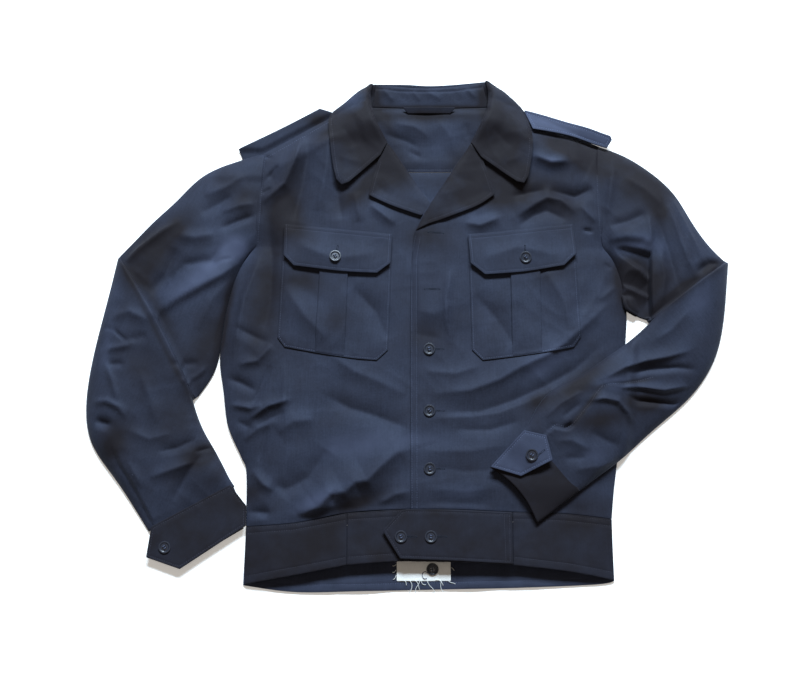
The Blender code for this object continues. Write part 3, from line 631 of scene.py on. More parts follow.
def cut_cloth(name, edge, top, finish, nodes, thickness, spacing, grooves=()):
    """A closed wall of cloth inside the outline, under the height function top.

    grooves are rows of (line, depth): narrow furrows, as a seam or a row of stitches pulls in.
    """
    edge = edge_of(ccw(np.asarray(edge, float)), spacing)
    border = inset_line(edge, RIM, closed=True)
    closed = np.vstack([border, border[:1]])
    rows = []
    for line, _ in grooves if spacing <= COARSE else ():
        along = straight(line, spacing)
        rows += [inset_line(along, by) for by in (-GROOVE_SIDE, 0.0, GROOVE_SIDE)]
    low, high = edge.min(axis=0), edge.max(axis=0)
    gx, gy = np.meshgrid(np.arange(low[0], high[0], spacing),
                         np.arange(low[1], high[1], spacing * 0.866))
    gx[1::2] += spacing / 2
    gx, gy = gx.ravel(), gy.ravel()
    keep = inside_of(gx, gy, border)
    gx, gy = gx[keep], gy[keep]
    keep = line_distance(gx, gy, closed)[0] > 0.55 * spacing
    for line, _ in grooves:
        keep &= line_distance(gx, gy, line)[0] > GROOVE_SIDE + 0.4 * spacing
    inner = [np.stack([gx[keep], gy[keep]], axis=1)]
    for row in rows:
        well_in = inside_of(*row.T, border) & (line_distance(*row.T, closed)[0] > 0.5)
        inner.append(row[well_in])
    count = len(border)
    flat = [Vector(p) for p in np.vstack([border] + inner)]
    found = delaunay_2d_cdt(flat, [], [list(range(count))], 1, 1e-4)
    xy = np.array([tuple(v) for v in found[0]])
    faces = [list(f) for f in found[2]]
    x, y = xy[:, 0], xy[:, 1]

    level = top(x, y)
    for line, depth in grooves:
        far, _, along = line_distance(x, y, line)
        pucker = 1 + 0.35 * np.sin(along * 190.0) * np.sin(along * 37.0 + 1.0)
        level = level - depth * pucker * np.exp(-(far / GROOVE_WIDTH) ** 2)

    ring = border_ring(faces)
    size = len(xy)
    points = [np.column_stack([xy, level]), np.column_stack([xy, level - thickness])]
    outward = ring_normals(xy[ring])
    base = size * 2
    walls = [ring]
    deep = thickness / RIM
    for push, drop in ((0.7, 0.3), (1.0, 1.0), (1.0, deep - 1.0), (0.7, deep - 0.3)):
        moved = xy[ring] + outward * (RIM * push)
        points.append(np.column_stack([moved, level[ring] - RIM * drop]))
        walls.append(np.arange(base, base + len(ring)))
        base += len(ring)
    walls.append(np.asarray(ring) + size)
    solid = faces + [[i + size for i in reversed(f)] for f in faces]
    for upper, lower in zip(walls, walls[1:]):
        for k in range(len(ring)):
            j = (k + 1) % len(ring)
            solid.append([int(upper[k]), int(lower[k]), int(lower[j]), int(upper[j])])
    return add_piece(name, np.vstack(points), solid, finish, nodes)


def border_ring(faces):
    """The points round the edge of a flat mesh of anticlockwise faces, in order."""
    onward = {}
    for face in faces:
        for a, b in zip(face, face[1:] + face[:1]):
            onward[a, b] = True
    following = {a: b for a, b in onward if (b, a) not in onward}
    start = next(iter(following))
    ring = [start]
    while following[ring[-1]] != start:
        ring.append(following[ring[-1]])
    return ring


def ring_normals(ring):
    """Outward directions round an anticlockwise ring."""
    ahead = unit(np.roll(ring, -1, axis=0) - np.roll(ring, 1, axis=0))
    return np.stack([ahead[:, 1], -ahead[:, 0]], axis=1)


# ---------------------------------------------------------------- sewing


# Heights of a stitch against the cloth: its ends, its sides and its underside
ENDS_SUNK = -0.22
SIDES_SUNK = 0.1
UNDER_SUNK = 0.3
WORKED_PITCH = 0.75    # from one stitch to the next round a buttonhole


def stitches(line, top, pitch=None, width=0.36, proud=0.16, start=0.5, cover=0.39):
    """Points and faces of a row of stitches along a line on the cloth."""
    pitch = pitch or sizes().stitch
    line = np.asarray(line, float)
    passed = lengths_along(line)
    count = max(1, int(passed[-1] / pitch))
    middle = (np.arange(count) + start) * passed[-1] / count
    half = cover * pitch
    at = [np.stack([np.interp(middle + s * half, passed, line[:, a]) for a in (0, 1)], axis=1)
          for s in (-1, -0.5, 0.5, 1)]
    ahead = unit(at[3] - at[0])
    left = np.stack([-ahead[:, 1], ahead[:, 0]], axis=1)
    z = [top(p[:, 0], p[:, 1]) for p in at]
    columns = [np.column_stack([at[0], z[0] + ENDS_SUNK])]
    for k in (1, 2):
        columns += [np.column_stack([at[k] + left * width, z[k] - SIDES_SUNK]),
                    np.column_stack([at[k], z[k] + proud]),
                    np.column_stack([at[k] - left * width, z[k] - SIDES_SUNK]),
                    np.column_stack([at[k], z[k] - UNDER_SUNK])]
    columns.append(np.column_stack([at[3], z[3] + ENDS_SUNK]))
    points = np.stack(columns, axis=1).reshape(-1, 3)
    faces = []
    for k in range(count):
        b = 10 * k
        for i in range(4):
            j = (i + 1) % 4
            faces += [[b, b + 1 + i, b + 1 + j], [b + 9, b + 5 + j, b + 5 + i],
                      [b + 1 + i, b + 5 + i, b + 5 + j, b + 1 + j]]
    return points, faces


def sewn(name, rows, finish, nodes=()):
    """One piece of all the rows of stitches, each of (points, faces)."""
    points, faces, base = [], [], 0
    for some, some_faces in rows:
        points.append(some)
        faces += [[i + base for i in f] for f in some_faces]
        base += len(some)
    return add_piece(name, np.vstack(points), faces, finish, nodes)


def buttonhole(x, y, turn, length, top):
    """Worked edges, bars and the slit of a buttonhole centred at x, y."""
    ahead = np.array([math.cos(turn), math.sin(turn)])
    side = np.array([-ahead[1], ahead[0]])
    centre = np.array([x, y], float)
    edge, bars = [], []
    for sign in (-1, 1):
        for k in range(int(length / WORKED_PITCH)):
            start = centre + ahead * (k * WORKED_PITCH - length / 2) + side * sign * 0.25
            edge.append(stitches([start, start + side * sign * 1.25], top, 1.25, 0.3, 0.34))
    for sign in (-1, 1):
        end = centre + ahead * sign * length / 2
        for k in (-0.4, 0.0, 0.4):
            start = end + ahead * k - side * 1.5
            bars.append(stitches([start, start + side * 3.0], top, 3.0, 0.32, 0.42))
    return edge + bars


def hole_shade(x, y, turn, length, top):
    """Painted shade in the opening of a buttonhole: a near-black strip along its slit."""
    ahead = np.array([math.cos(turn), math.sin(turn)])
    start = np.array([x, y]) - ahead * (length / 2 - 0.4)
    return stitches([start, start + ahead * (length - 0.8)], top, length - 0.8, 0.45, 0.3)


# ---------------------------------------------------------------- finishes


def add_node(tree, kind, inputs=None, **settings):
    """A node with its settings and inputs: sockets are linked, values are set."""
    node = tree.nodes.new(kind)
    for key, value in settings.items():
        setattr(node, key, value)
    for key, value in (inputs or {}).items():
        if isinstance(value, bpy.types.NodeSocket):
            tree.links.new(value, node.inputs[key])
        else:
            node.inputs[key].default_value = value
    return node


def maths(tree, operation, a, b=None):
    """A Math node's result."""
    inputs = {0: a} if b is None else {0: a, 1: b}
    return add_node(tree, "ShaderNodeMath", inputs, operation=operation).outputs[0]


def noise(tree, place, scale, detail, roughness=0.5):
    """A Noise Texture node's result."""
    return add_node(tree, "ShaderNodeTexNoise", {"Vector": place, "Scale": scale, "Detail": detail,
                                                 "Roughness": roughness}).outputs[0]


def ranged(tree, value, low, high, to_low=0.0, to_high=1.0):
    """A Map Range node's result: low to high becomes to_low to to_high."""
    return add_node(tree, "ShaderNodeMapRange",
                    {0: value, 1: low, 2: high, 3: to_low, 4: to_high}).outputs[0]


def mixed(tree, share, first, second):
    """A colour between the first, at share 0, and the second, at share 1."""
    return add_node(tree, "ShaderNodeMix", {0: share, 6: first, 7: second},
                    data_type="RGBA").outputs[2]


def plus(tree, total, value, weight):
    """The total with a weighted value added."""
    return maths(tree, "ADD", total, maths(tree, "MULTIPLY", value, weight))


def tinted(colour, tint):
    """The colour times a tint, as the four numbers of a colour socket."""
    return tuple(min(c * t, 1.0) for c, t in zip(colour, tint)) + (1.0,)


# Painted shade, then painted light: its sign, how it tints the cloth, and the tint of its
# reflections
SHADE_AND_LIGHT_LOOKS = ((1.0, (0.56, 0.43, 0.33), (0.34, 0.35, 0.36, 1.0)),
             (-1.0, (1.9, 1.95, 2.05), (0.8, 0.9, 1.0, 1.0)))


def new_finish(name):
    """A new material, its node tree and its shader."""
    finish = bpy.data.materials.new(name)
    finish.use_nodes = True
    return finish, finish.node_tree, finish.node_tree.nodes["Principled BSDF"]


def set_inputs(shader, values):
    """Set sockets of a shader to fixed values."""
    for key, value in values.items():
        shader.inputs[key].default_value = value


def woven_finish(name, colour, grain=0.0, roughness=0.66, gloss=0.15, uneven=0.34, drifting=0.9):
    """Fine plain weave with uneven threads, faint cloudiness, a soft sheen, and painted shade and
    light.
    """
    if name in bpy.data.materials:
        return bpy.data.materials[name]
    finish, tree, shader = new_finish(name)
    pitch = sizes().weave * MM
    place = add_node(tree, "ShaderNodeTexCoord").outputs["Object"]
    turned = add_node(tree, "ShaderNodeMapping", {0: place, 2: Euler((0, 0, grain))}).outputs[0]

    def drawn_out(scale):
        stretched = add_node(tree, "ShaderNodeMapping", {0: turned, 3: scale}).outputs[0]
        return noise(tree, stretched, 1.0, 2.0)

    split = add_node(tree, "ShaderNodeSeparateXYZ", {0: turned}).outputs
    weave = maths(tree, "MULTIPLY", *(
        maths(tree, "SINE", maths(tree, "MULTIPLY", split[k], math.pi / pitch)) for k in (0, 1)))
    slubs = [drawn_out(scale) for scale in ((1300, 60, 200), (60, 1300, 200))]
    slub = maths(tree, "MULTIPLY", maths(tree, "ADD", *slubs), 0.5)
    cloud = noise(tree, place, 17.0, 3.0, 0.55)
    streak = ranged(tree, drawn_out((840, 42, 150)), 0.33, 0.67)
    mottle = noise(tree, turned, 430.0, 3.0, 0.7)
    tone = maths(tree, "MULTIPLY", slub, 0.6)
    for value, weight in ((cloud, 0.6), (streak, 0.22), (mottle, 1.1)):
        tone = plus(tree, tone, value, weight)
    tone = plus(tree, maths(tree, "SUBTRACT", tone, 0.75), weave, 0.08)
    base = mixed(tree, tone, tinted(colour, [1 - uneven] * 3), tinted(colour, [1 + uneven] * 3))

    # Painted shade and painted light: random drift is added to each piece's painted_shade_and_light
    # attribute, which darkens and browns the colour and dulls the reflections' tint above zero, and
    # lightens both below zero.
    drift = noise(tree, place, 30.0, 4.0, 0.6)
    drift = maths(tree, "MULTIPLY", maths(tree, "SUBTRACT", drift, 0.48), drifting)
    painted_shade_and_light = add_node(tree, "ShaderNodeAttribute", attribute_name="painted_shade_and_light").outputs["Fac"]
    painted_shade_and_light = maths(tree, "ADD", painted_shade_and_light, drift)
    shine = (0.60, 0.74, 1.0, 1.0)
    for side, tint, painted_shine in SHADE_AND_LIGHT_LOOKS:
        share = maths(tree, "MULTIPLY", painted_shade_and_light, side)
        base = mixed(tree, share, base, tuple(c * t for c, t in zip(colour, tint)) + (1.0,))
        shine = mixed(tree, share, shine, painted_shine)
    rough = ranged(tree, slub, 0.3, 0.7, roughness - 0.07, roughness + 0.07)
    fine = add_node(tree, "ShaderNodeBump",
                    {"Height": weave, "Strength": 0.35, "Distance": 0.00010}).outputs[0]
    bump = add_node(tree, "ShaderNodeBump",
                    {"Height": slub, "Strength": 0.5, "Distance": 0.00022,
                     "Normal": fine}).outputs[0]
    for key, result in (("Base Color", base), ("Specular Tint", shine), ("Roughness", rough),
                        ("Normal", bump)):
        tree.links.new(result, shader.inputs[key])
    set_inputs(shader, {"Sheen Weight": 0.04, "Sheen Roughness": 0.42,
                        "Sheen Tint": (0.62, 0.72, 1.0, 1.0), "Specular IOR Level": gloss})
    return finish


def button_finish():
    """Polished dark blue plastic, faintly clouded."""
    if "button_plastic" in bpy.data.materials:
        return bpy.data.materials["button_plastic"]
    colour = colours().button
    finish, tree, shader = new_finish("button_plastic")
    place = add_node(tree, "ShaderNodeTexCoord").outputs["Object"]
    base = mixed(tree, noise(tree, place, 260.0, 3.0), tinted(colour, [0.7] * 3),
                 tinted(colour, [1.9] * 3))
    rough = ranged(tree, noise(tree, place, 1500.0, 2.0), 0.3, 0.7, 0.26, 0.42)
    tree.links.new(base, shader.inputs["Base Color"])
    tree.links.new(rough, shader.inputs["Roughness"])
    set_inputs(shader, {"Specular IOR Level": 0.5})
    return finish


def cloth(grain=0.0):
    """The shell cloth, with its threads turned by the grain angle."""
    return woven_finish(f"shell_cloth_{round(math.degrees(grain))}", tuple(colours().cloth), grain)


def thread(kind="navy"):
    """Sewing thread, and the near-black painted shade for buttonhole slits and needle holes."""
    # hole_shade is near-black painted shade, not a thread colour.
    colour = {"navy": tuple(colours().thread), "white": (0.66, 0.66, 0.64),
              "hole": (0.011, 0.013, 0.02), "hole_shade": (0.006, 0.006, 0.008)}[kind]
    return woven_finish(f"{kind}_thread", colour, 0.6, gloss=0.2, drifting=0.0)


# ---------------------------------------------------------------- the cut of each piece


# Painted shade and painted light: patches where the cloth is painted darker and browner to stand
# for shade,
# or lighter to stand for light. Columns: x, y of the patch; its half length and half width; its
# turn in degrees; how much shade is painted, or how much light below zero
PAINTED_SHADE_AND_LIGHT_PATCHES = [
    # right front
    (-150, 155, 44, 20, -62, 0.8), (-176, 60, 104, 24, 86, 0.85), (-128, 68, 22, 14, 0, 0.7),
    (-140, 200, 42, 14, 86, 0.5), (-22, 276, 18, 9, -60, 0.5), (-100, 264, 24, 15, 30, 0.7),
    (-66, 180, 24, 14, 30, 0.9),
    (24, 128, 26, 20, 0, 0.7), (-66, -136, 52, 16, 10, -0.7), (-106, -204, 32, 12, 28, -0.9),
    (-182, -60, 30, 14, 60, -0.2), (-190, -194, 16, 12, 0, 0.6), (-62, -208, 36, 10, 18, 0.9),
    (10, 180, 34, 10, 0, -0.35),
    (22, 0, 24, 20, 0, 0.5), (10, -132, 42, 14, 0, -0.4), (-90, 20, 20, 14, 30, 0.4),
    # left front
    (132, 186, 50, 22, 16, 0.8), (92, 158, 30, 12, 0, -0.4), (214, 245, 46, 15, -14, 1.2),
    (44, 252, 20, 12, 40, -0.5), (240, 226, 28, 22, 0, 1.0), (194, 168, 40, 34, -20, 0.6),
    (178, 76, 26, 14, 20, 0.5), (172, -34, 26, 13, 36, -0.8), (212, -218, 36, 20, 0, 0.5),
    (185, 224, 14, 9, 0, -1.0), (72, -194, 24, 10, 0, -0.5), (160, -84, 18, 12, 30, 0.8),
    # right sleeve
    (-329, 100, 50, 26, 52, 1.1), (-228, 203, 22, 14, 30, 0.5), (-204, 182, 26, 15, 80, 0.6),
    (-312, 40, 54, 8, -62, 0.6),
    (-290, 138, 26, 16, 40, 0.6), (-250, 82, 54, 17, 41, -1.0), (-214, 112, 18, 13, 0, -1.2),
    (-248, -12, 36, 24, 80, 0.8), (-372, -10, 46, 8, 84, -0.5), (-228, -170, 26, 10, 50, 0.5),
    (-226, 32, 56, 6, 80, 0.9), (-255, -150, 26, 14, 30, 0.8),
    (-284, -104, 44, 28, 60, 0.6), (-330, -42, 42, 30, 0, 0.4), (-358, -134, 32, 20, 60, 0.9),
    (-313, 10, 110, 3.5, -62, 0.5), (-365, 60, 22, 14, 80, -0.6),
    # left sleeve
    (296, 200, 48, 34, -38, 0.95), (322, 160, 26, 14, -60, 0.6), (320, 72, 30, 22, 60, 0.6),
    (282, 72, 44, 24, 90, 1.5), (385, 92, 16, 9, 20, 0.7), (290, 115, 30, 12, 0, -1.5),
    (270, -61, 36, 3.2, 10, 0.9), (220, -90, 30, 3.5, 52, 0.9),
    (366, 44, 26, 15, 60, -0.6), (212, -62, 50, 14, 40, 0.8), (256, -62, 22, 8, 0, -0.8),
    (286, -84, 18, 9, 0, 1.1),
    # right collar end and right forearm
    (-68, 308, 16, 16, 0, -1.2), (-244, -150, 20, 14, 60, 0.6),
    # left forearm, right shoulder, left cuff, left elbow
    (236, -108, 36, 12, 10, 0.9), (296, -86, 20, 12, 0, 0.7),
    (-115, 288, 14, 9, 30, 0.9), (226, -150, 22, 10, 0, -0.5),
    (344, 57, 54, 8, 37, 1.1),
    # collar, lapels, stand and yoke
    (-56, 282, 54, 26, 72, 0.5), (116, 266, 54, 28, -72, 0.45), (-24, 222, 34, 24, -60, 0.9),
    (-44, 200, 16, 12, 0, 0.7),
    (88, 210, 42, 28, -40, 1.0), (24, 292, 66, 9, 0, 0.9), (29, 304, 80, 2.6, 0, 1.0),
    (-42, 312, 24, 8, 86, 1.0), (101, 314, 24, 8, -86, 1.0),
]
# The same painted shade, or painted light below zero, on whole pieces, and on every other piece
SHADE_AND_LIGHT_OF = {"cloth_collar_fall_right": 0.6, "cloth_collar_fall_left": 0.65,
          "cloth_lapel_right": 0.45, "cloth_lapel_left": 0.75, "cloth_waistband_right_side": 0.85,
          "cloth_waistband_right_front": 0.85, "cloth_waistband_left_side": 0.75,
          "cloth_waist_tab": 0.8, "cloth_waistband_left_front": 0.8,
          "cloth_waistband_back": -0.2, "cloth_cuff_right": 0.7, "cloth_cuff_tab_right": 0.8,
          "cloth_cuff_left": 1.0, "cloth_epaulette_left": -1.0, "cloth_cuff_tab_left": -0.6}
PAINTED_SHADE_ELSEWHERE = 0.14


def paint_shade_and_light(piece, name=None):
    """Store on a piece's points how much shade, or light below zero, is painted on them."""
    points = np.empty(3 * len(piece.data.vertices))
    piece.data.vertices.foreach_get("co", points)
    x, y = (points.reshape(-1, 3)[:, :2] / MM + LAID_CENTRE).T
    painted_shade_and_light = np.full(len(x), SHADE_AND_LIGHT_OF.get(name or piece.name, PAINTED_SHADE_ELSEWHERE))
    for mid_x, mid_y, long, wide, turn, dark in PAINTED_SHADE_AND_LIGHT_PATCHES:
        cos, sin = math.cos(math.radians(turn)), math.sin(math.radians(turn))
        u = ((x - mid_x) * cos + (y - mid_y) * sin) / long
        v = ((y - mid_y) * cos - (x - mid_x) * sin) / wide
        painted_shade_and_light += dark * np.exp(-u ** 2 - v ** 2)
    layer = piece.data.attributes.new("painted_shade_and_light", "FLOAT", "POINT")
    layer.data.foreach_set("value", np.clip(painted_shade_and_light, -1.0, 1.0))


def paint_piece_shade(piece):
    """Paint shade and light on a cloth piece's points, on every piece but the label."""
    if piece.name != "cloth_label":
        paint_shade_and_light(piece)


def lay_cloth(node, edge, top, thickness, spacing, grain=0.0, grooves=(),
              finish=None):
    piece = cut_cloth(f"cloth_{node}", edge, top, finish or cloth(grain), (node,), thickness,
                      spacing, grooves)
    paint_piece_shade(piece)
    return piece


def row_inside(edge, by):
    """The row that runs all round an outline, by millimetres inside it."""
    return inset_line(ccw(edge), by, True)


# ---------------------------------------------------------------- sleeves and cuffs

# Rows from the armhole to the cuff. Columns: outer edge x, y; inner edge x, y; height of the
# cloth at the outer edge, its extra height between, height at the inner edge; and how far the
# row bows towards the hand. The forearm starts where the sleeve folds back over the upper arm.
UPPER_RIGHT = [
    (-181, 241, -188, 117, 4, 7.2, 4.5, 0), (-186.5, 242, -193.5, 117, 5, 8.6, 5, 0),
    (-219, 230, -208, 94, 5, 10, 5, 0), (-252, 219, -218.5, 66, 5, 10, 5, 0),
    (-273, 202, -225.2, 36, 5, 10, 5, 0), (-295, 176, -230.0, 4, 5, 10, 5, 0),
    (-320, 153, -231.9, -20, 5, 9, 5, 0), (-342, 128, -238, -47, 5, 8, 5, -3),
    (-361, 107, -257, -74, 5, 6, 5, -6.5)]
FORE_RIGHT = [
    (-365, 102, -264, -80, 6, 13, 11, -6.5), (-371, 70, -262, -87, 6, 13, 10, -2),
    (-379, 32, -259, -96, 6, 12, 8, 0), (-389, -15, -254, -109, 6, 12, 7, 0),
    (-396, -62, -247, -123, 6, 12, 6, 0), (-397, -100, -240, -134, 5, 12, 6, 0),
    (-390, -134, -234, -144, 5, 11, 6, 0), (-370, -160, -229, -153, 5, 11, 6, 0),
    (-349, -186, -224, -162, 5, 10, 6, 0), (-332, -212, -219, -172, 5, 7, 6, 0),
    (-321, -228, -215, -180, 5, 3, 5.4, 0), (-313, -241, -210, -186, 4, 1, 4.5, 0)]
HAND_RIGHT = [
    (-307.5, -233, -213.5, -182.5, 5, 1, 5, 0), (-296, -254, -202, -205, 5, 1, 5, 0),
    (-276, -283, -198, -237, 5, 0.5, 5, 0)]
UPPER_LEFT = [
    (246, 252, 249, 111, 4, 7, 4.5, -6), (251.5, 251, 253, 111, 5, 9, 3.6, -6),
    (284, 238, 263, 92, 5, 12, 3.2, 0), (319, 213, 270, 68, 5, 13, 3.2, 0),
    (345, 187, 271, 48, 5, 13, 3.2, 0), (360, 155, 273, 35, 5, 13, 3.4, 0),
    (375, 130, 280, 29, 5, 12, 4, 0), (388, 112, 290, 26, 5, 10, 5, 0),
    (401, 100, 301, 22, 5, 8, 5, 0)]
FORE_LEFT = [
    (407, 96, 303, 17, 6, 15, 12, -2), (404, 72, 290, 5, 6, 15, 10, -1),
    (400, 35, 275, -8, 6, 14, 8, 0), (394, 1, 257, -21, 6, 14, 7, 0),
    (385, -28, 239, -34, 6, 13, 6, 0), (368, -57, 221, -47, 5, 13, 6, 0),
    (348, -80, 203, -56, 5, 12, 6, 0), (322, -102, 186, -64, 5, 11, 6, 0),
    (295, -124, 172, -75, 5, 10, 6, 0), (268, -150, 161, -88, 5, 8, 6, 0),
    (238, -172, 153, -102, 5, 6, 6, 0), (214, -189, 148, -114, 5, 3, 5.6, 0),
    (204, -197, 142, -120, 4, 1, 5, 0)]
HAND_LEFT = [
    (209.5, -192.8, 146.5, -116.8, 5, 1, 5, 0), (184, -212, 124, -140, 5, 1, 5, -3),
    (157, -232, 101, -165, 5, 0.5, 5, -8)]
# Where the sleeve turns under itself at the elbow. Columns: share of the way under, share of
# the height between the lower and the upper layer
TURN_UNDER = [(0.35, 0.03), (0.75, 0.08), (1.0, 0.2), (1.0, 0.34), (0.7, 0.45), (0.3, 0.53),
              (0.0, 0.58), (-0.09, 0.67), (-0.12, 0.78), (-0.07, 0.91)]
TURN_REACH = 11.0
ROUND_COUNT = 72      # points across the top of a tube, and across its flat underside
FLAT_COUNT = 16
ROW_STEP = 2.0        # from one row of a tube to the next
SQUARENESS = 8        # how sharply a tube's folded edges turn
EDGE_HEIGHT = 0.35    # the folded edges stand at this share of the cloth's height there

# The left sleeve's hollow under the arm: its upper and right edge, and what lies in it
HOLLOW_EDGE = [(244, 115), (275, 115), (294, 111), (309, 106), (307, 61), (308, 26)]
HOLLOW_FLOOR = [
    (((250, 106), (275, 96), (294, 84), (306, 71)), 11, 8.5, -0.72),
    (((268, 66), (284, 60), (304, 50)), 9, 6, -0.7),
]
HOLLOW_DEPTH = 3.2
ARM_BESIDE = 5.2    # how high the left forearm's underside is beside the left front
# The bunched cloth above the hollow
HOLLOW_LIP = [(((254, 124), (276, 126), (296, 124), (308, 116)), 15, 5.5, 0.5)]
# The vents: lines where the side nearer the inner edge laps over the other
VENT_RIGHT = [(-362, -133), (-347, -164), (-338, -176), (-327, -195), (-315, -217), (-309, -229)]
VENT_LEFT = [(237, -68), (227, -80), (222, -89), (216, -96), (210, -103), (203, -112), (196, -119),
             (187, -119), (178, -117), (171, -123)]
SEAM_LEFT = [(304, -53), (286, -58), (267, -62), (249, -63), (237, -68)]
SEAM_CREASES = [(SEAM_LEFT, 2.4, -0.9, 0), (((203, -112), (190, -119)), 3.5, -4, 0)]


def arch(share):
    """Roundness of a flattened tube's top, from one folded edge to the other."""
    return (1 - np.abs(2 * share - 1) ** 3) ** 0.8


def even_rows(stations, step):
    """The stations cut into even rows and smoothed, with the first and last kept."""
    rows = np.asarray(stations, float)
    passed = lengths_along((rows[:, 0:2] + rows[:, 2:4]) / 2)
    count = max(3, round(passed[-1] / step))
    at = np.linspace(0, passed[-1], count + 1)
    rows = np.stack([np.interp(at, passed, rows[:, c]) for c in range(8)], axis=1)
    window = min(6, count // 3)
    kernel = np.ones(2 * window + 1) / (2 * window + 1)
    for _ in range(2):
        before = 2 * rows[0] - rows[window:0:-1]
        after = 2 * rows[-1] - rows[-2:-window - 2:-1]
        longer = np.vstack([before, rows, after])
        rows = np.stack([np.convolve(longer[:, c], kernel, "valid") for c in range(8)], axis=1)
    return rows


def shares(count):
    """Shares from 0 to 1, closer together near both ends."""
    k = np.arange(count + 1) / count
    return 0.45 * k + 0.55 * (1 - np.cos(math.pi * k)) / 2


def skin(rows, t, rest):
    """Top and bottom points of each row at the shares t, without creases."""
    outer, inner = rows[:, None, 0:2], rows[:, None, 2:4]
    across_row = inner - outer
    width = np.hypot(across_row[..., 0], across_row[..., 1])[..., None]
    hand = np.concatenate([-across_row[..., 1:2], across_row[..., 0:1]], axis=-1) / width
    if (hand[:, 0] * (rows[-1, 0:2] - rows[0, 0:2])).sum() < 0:
        hand = -hand
    share = t[None, :, None]
    place = outer + share * across_row + hand * rows[:, None, 7:8] * 4 * share * (1 - share)
    x, y = place[..., 0], place[..., 1]
    base = rest(x, y)
    side = rows[:, None, 4] + t * (rows[:, None, 6] - rows[:, None, 4])
    rounded = np.sqrt(1 - np.abs(2 * t - 1) ** SQUARENESS)
    edge = EDGE_HEIGHT * side
    top = base + edge + (side - edge) * rounded + rows[:, None, 5] * arch(t)
    bottom = base + edge * (1 - rounded)
    return x, y, top, bottom


def lay_tube(node, halves, rest, shape, grain):
    """A flattened tube of cloth, open at both ends; shape puts in its creases.

    Between two halves, the tube turns under itself.
    """
    t_top, t_flat = shares(ROUND_COUNT), shares(FLAT_COUNT)
    rings, skins = [], []
    for stations in halves:
        rows = even_rows(stations, ROW_STEP)
        x, y, top, bottom = skin(rows, t_top, rest)
        hold = ease(np.minimum(t_top, 1 - t_top) / 0.07)[None, :]
        top = shape(x, y, top, hold)
        top = np.maximum(top, bottom + (3.0 * hold))
        fx, fy, _, fbottom = skin(rows, t_flat, rest)
        skins.append((np.stack([x, y, top], axis=-1), np.stack([fx, fy, fbottom], axis=-1)))
    for index, (crown, floor) in enumerate(skins):
        if index:
            last_crown, last_floor = skins[0][0][-1], skins[0][1][-1]
            onward = (crown[8] - crown[0]).mean(axis=0)[:2]
            onward /= np.hypot(*onward)
            reach = TURN_REACH * np.sin(math.pi * t_top) ** 0.5
            for k, (under, height) in enumerate(TURN_UNDER):
                share = (k + 1) / (len(TURN_UNDER) + 1)
                turn = last_crown + share * (crown[0] - last_crown)
                turn[:, :2] += onward * (reach * under)[:, None]
                turn[:, 2] = last_crown[:, 2] + height * (crown[0, :, 2] - last_crown[:, 2])
                rings.append((turn, last_floor + share * (floor[0] - last_floor)))
        rings += list(zip(crown, floor))
    loops = [np.vstack([crown, floor[-2:0:-1]]) for crown, floor in rings]
    size = len(loops[0])
    faces = []
    for r in range(len(loops) - 1):
        for k in range(size):
            j = (k + 1) % size
            faces.append([r * size + k, r * size + j, (r + 1) * size + j, (r + 1) * size + k])
    points = np.vstack(loops)
    a, b, _, d = (points[i] for i in faces[ROUND_COUNT // 2])
    if np.cross(b - a, d - a)[2] < 0:
        faces = [f[::-1] for f in faces]
    piece = add_piece(f"cloth_{node}", points, faces, cloth(grain), ())
    wall = piece.modifiers.new("Wall", "SOLIDIFY")
    wall.thickness = sizes().wall * MM
    wall.offset = -1.0
    apply_modifier(piece, wall)
    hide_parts(node)
    paint_piece_shade(piece)


def select_only(piece):
    """Select one object and make it the active one."""
    bpy.ops.object.select_all(action="DESELECT")
    piece.select_set(True)
    bpy.context.view_layer.objects.active = piece


def apply_modifier(piece, modifier):
    """Apply a modifier to the piece's mesh."""
    select_only(piece)
    bpy.ops.object.modifier_apply(modifier=modifier.name)
    piece.select_set(False)


def left_level(x, y):
    """Top of the left front as if it had no creases."""
    wall = sizes().wall
    full = fullness(x, y)
    held = WAIST_PULL * full * (1 - ease((y - across(WAIST_SEAM, x)) / WAIST_FADE))
    return 2 * wall + GAP + back_lift(x, y) + LOFT * full - held + lap(x, y)


def over_left_front(x, y):
    """What the left forearm rests on: the left front, then the floor beyond the side seam."""
    beyond = x - down(LEFT_EDGE, y)
    outside = ARM_BESIDE * (1 - ease((beyond - 4) / 14))
    return np.where(beyond > 0, outside, left_level(x, y) + TUCK) * ease((62 - y) / 16)


def lapped(x, y, line, rise, dip):
    """A lapped edge: the left side of the line stands up and the other side lies low."""
    far, side, along = line_distance(x, y, line)
    fade = ease(along / 0.12) * ease((1 - along) / 0.02 + 0.5)
    high = rise * np.exp(-far / 16)
    low = -dip * np.exp(-far / 6)
    over = 0.5 + 0.5 * np.clip(side * far / 2.6, -1, 1)
    return fade * (over * high + (1 - over) * low)


def shape_right(x, y, top, hold):
    """Creases of the right sleeve."""
    top = top + hold * (creased(SLEEVE_RIGHT_CREASES, x, y) + rippled(x, y))
    return top + hold * lapped(x, y, VENT_RIGHT, 1.6, 1.8)


def shape_left(x, y, top, hold):
    """Creases of the left sleeve, its vent, and the hollow under the arm."""
    top = top + hold * (creased(SLEEVE_LEFT_CREASES, x, y) + rippled(x, y))
    top = top + hold * lapped(x, y, VENT_LEFT, 1.4, 2.0)
    top = top + hold * creased(SEAM_CREASES, x, y)
    top = top + creased(HOLLOW_LIP, x, y) * ease((x - 250) / 10)
    edge = np.array(HOLLOW_EDGE + [(240, 14)], float)
    inside = inside_of(x, y, edge)
    far = line_distance(x, y, HOLLOW_EDGE)[0]
    sunk = np.where(inside, ease(far / 4.0), 0.0)
    folds = creased(HOLLOW_FLOOR, x, y) * ease((x - 256) / 10)
    floor = HOLLOW_DEPTH + 8.0 * ease((y - 46) / 70) + folds
    return top * (1 - sunk) + np.minimum(floor, top) * sunk


# ---------------------------------------------------------------- surfaces to sew and set things on


LOOK_FROM = 200    # heights are looked for from here down


